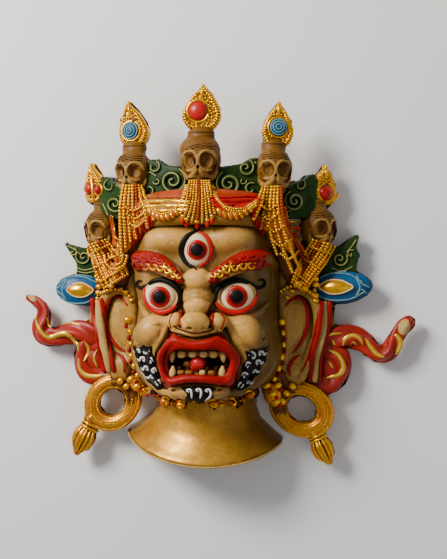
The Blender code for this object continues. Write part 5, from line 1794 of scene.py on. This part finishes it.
def earrings():
    """Thick ring earrings with turned grooves and a beaded line, a leafy bud hanging from each."""
    rings, buds, dots = put_in("earrings", BRONZE), put_in(
        "earring_buds", BRONZE
    ), put_in("earring_beads", GOLD)
    for side in SIDES:
        at = np.array(RING_AT[side], float)
        turns = rotation((0, 0, RING_TILT[side]))
        stretch = np.array((RING_STRETCH[side], 1, 1))
        rows = []
        for a in np.arange(120) * 2 * math.pi / 120:
            middle = np.array((math.cos(a), math.sin(a), 0)) * RING_RADIUS
            section = []
            for b in -np.arange(72) * 2 * math.pi / 72:
                r = RING_SECTION[side] * (0.92 + 0.07 * abs(math.cos(b * 5)) ** 0.6)
                section.append(middle * (1 + r * math.cos(b) / RING_RADIUS) + (0, 0, r * math.sin(b)))
            rows.append(section)
        rows = np.array(rows) * stretch @ turns.T + at
        rings.add(*loft(np.concatenate([rows, rows[:1]]), caps=False))
        for reach, up, size in ((-5.0, 4.3, 0.95), (0.0, 6.4, 0.8), (4.9, 4.4, 1.0)):
            line = [
                (math.cos(a) * (RING_RADIUS + reach), math.sin(a) * (RING_RADIUS + reach), up)
                for a in np.linspace(0, 2 * math.pi, 60)
            ]
            beads(dots, np.array(line) * stretch @ turns.T + at, size, gap=1.75)
        away = np.array((-0.46, -0.89, 0)) if side < 0 else np.array((0.44, -0.9, 0))
        across = np.array((-away[1], away[0], 0))
        start = at + ((-17, -15, 0) if side < 0 else (11, -19, 0))
        length, round_of = BUD_LENGTH[side] - 1, BUD[side] * 0.93
        path = [start + away * length * s for s in (0.0, 0.25, 0.5, 0.78, 1.0)]
        buds.add(
            *tube(
                path, np.array((0.9, 0.72, 1.0, 0.88, 0.35)) * round_of, sides=48, lobes=5, flat=0.8,
                step=1.2
            )
        )
        for lean in (-0.74, -0.4, 0.0, 0.4, 0.74):
            vein = [
                start + away * length * s + across * lean * w * round_of + (
                    0, 0, 0.8 * w * round_of * math.sqrt(1 - lean * lean) + 0.2
                ) for s,
                w in ((0.3, 0.8), (0.5, 1.0), (0.78, 0.88), (0.97, 0.42))
            ]
            dots.add(*tube(vein, (0.6, 1.1, 0.9, 0.4), sides=8))
        for share, reach in ((0.16, 0.8), (0.26, 0.86)):
            centre = start + away * length * share
            ring = [
                centre + across * reach * round_of * math.cos(a)
                + np.array((0, 0, 0.8)) * reach * round_of * math.sin(a)
                for a in np.linspace(0, math.pi, 17)
            ]
            dots.add(*tube(ring, 1.2, sides=8))
    for at, radii, turn, beads_at in (
        ((-60, -90, 30), (7.6, 7.6, 8.6), 35, ((-66, -86, 35), (-60, -92, 38), (-55, -96, 35))),
        ((56.5, -97, 27), (8, 12.4, 8.4), 12, ((52, -90, 35), (57, -97, 35), (60, -104, 33), (61, -90, 33)))
    ):
        lump(buds, at, radii, (0, 0, turn), form=ball(18, 28))
        for x, y, z in beads_at:
            lump(dots, (x, y, z), (4.0, 3.0, 2.6), (0, 0, turn))
            lump(put_in("knot_dots", BRIGHT_RED), (x + 3.4, y - 3.4, z - 0.8), (1.7, 1.7, 1.5))
    for side, x, y in ((-1, -72, -93), (-1, -77, -88), (1, 68, -97), (1, 73, -91), (1, 64, -104)):
        lump(dots, both(cad_form).put(*pixel_of((x, y, 26)), 0.8), (3.6, 2.8, 2.6), (0, 0, side * -40))


def floor():
    mesh = bpy.data.meshes.new("floor")
    mesh.from_pydata(
        [(-3, -3, -0.0004), (3, -3, -0.0004), (3, 3, -0.0004), (-3, 3, -0.0004)], [], [(0, 1, 2, 3)]
    )
    made = bpy.data.objects.new("floor", mesh)
    bpy.context.scene.collection.objects.link(made)
    material = bpy.data.materials.new("floor_paint")
    material.use_nodes = True
    shader = material.node_tree.nodes["Principled BSDF"]
    shader.inputs["Base Color"].default_value = (0.93, 0.93, 0.92, 1)
    shader.inputs["Roughness"].default_value = 0.8
    shader.inputs["Specular IOR Level"].default_value = 0.2
    mesh.materials.append(material)


def area_light(name, place, size, power, colour=(1, 1, 1)):
    light = bpy.data.lights.new(name, "AREA")
    light.size = size
    light.energy = power
    light.color = colour
    made = bpy.data.objects.new(name, light)
    made.location = place
    made.rotation_euler = (Vector((0, 0, 0.04)) - Vector(place)).to_track_quat("-Z", "Y").to_euler()
    bpy.context.scene.collection.objects.link(made)


def studio():
    area_light("key", (-0.72, 0.62, 0.85), 0.45, 24.0, (1.0, 0.96, 0.9))
    area_light("fill", (0.7, -0.5, 1.1), 1.0, 1.5, (0.95, 0.97, 1.0))
    world = bpy.data.worlds.new("studio")
    bpy.context.scene.world = world
    world.use_nodes = True
    world.node_tree.nodes["Background"].inputs["Color"].default_value = (1, 1, 1, 1)
    world.node_tree.nodes["Background"].inputs["Strength"].default_value = 0.3
    camera = bpy.data.cameras.new("photo_camera")
    camera.sensor_width = SENSOR
    camera.sensor_fit = "HORIZONTAL"
    camera.lens = SENSOR * CAMERA_AWAY / (PIXEL * PHOTO_WIDTH)
    camera.clip_end = 10.0
    made = bpy.data.objects.new("photo_camera", camera)
    axes = Matrix((RIGHTWARDS, (0, 1, 0), TOWARDS)).transposed().to_4x4()
    axes.translation = Vector((EYE_POINT + ORIGIN) * 0.001)
    made.matrix_world = axes
    bpy.context.scene.collection.objects.link(made)
    bpy.context.scene.camera = made


body_points, body_faces = core()
cad_form = Carrier(body_points, body_faces)
face_form = head()
for build in (
    eyeballs, brow_curls, mouth, beard, chin_curls, neck, ears, skulls, jewels, panels, leaves, side_buds
):
    build()
for build in (headband, falls, ribbons, scarves, earrings):
    build()
for name, (shape, material) in bins.items():
    shape.piece(name, material)
floor()
studio()
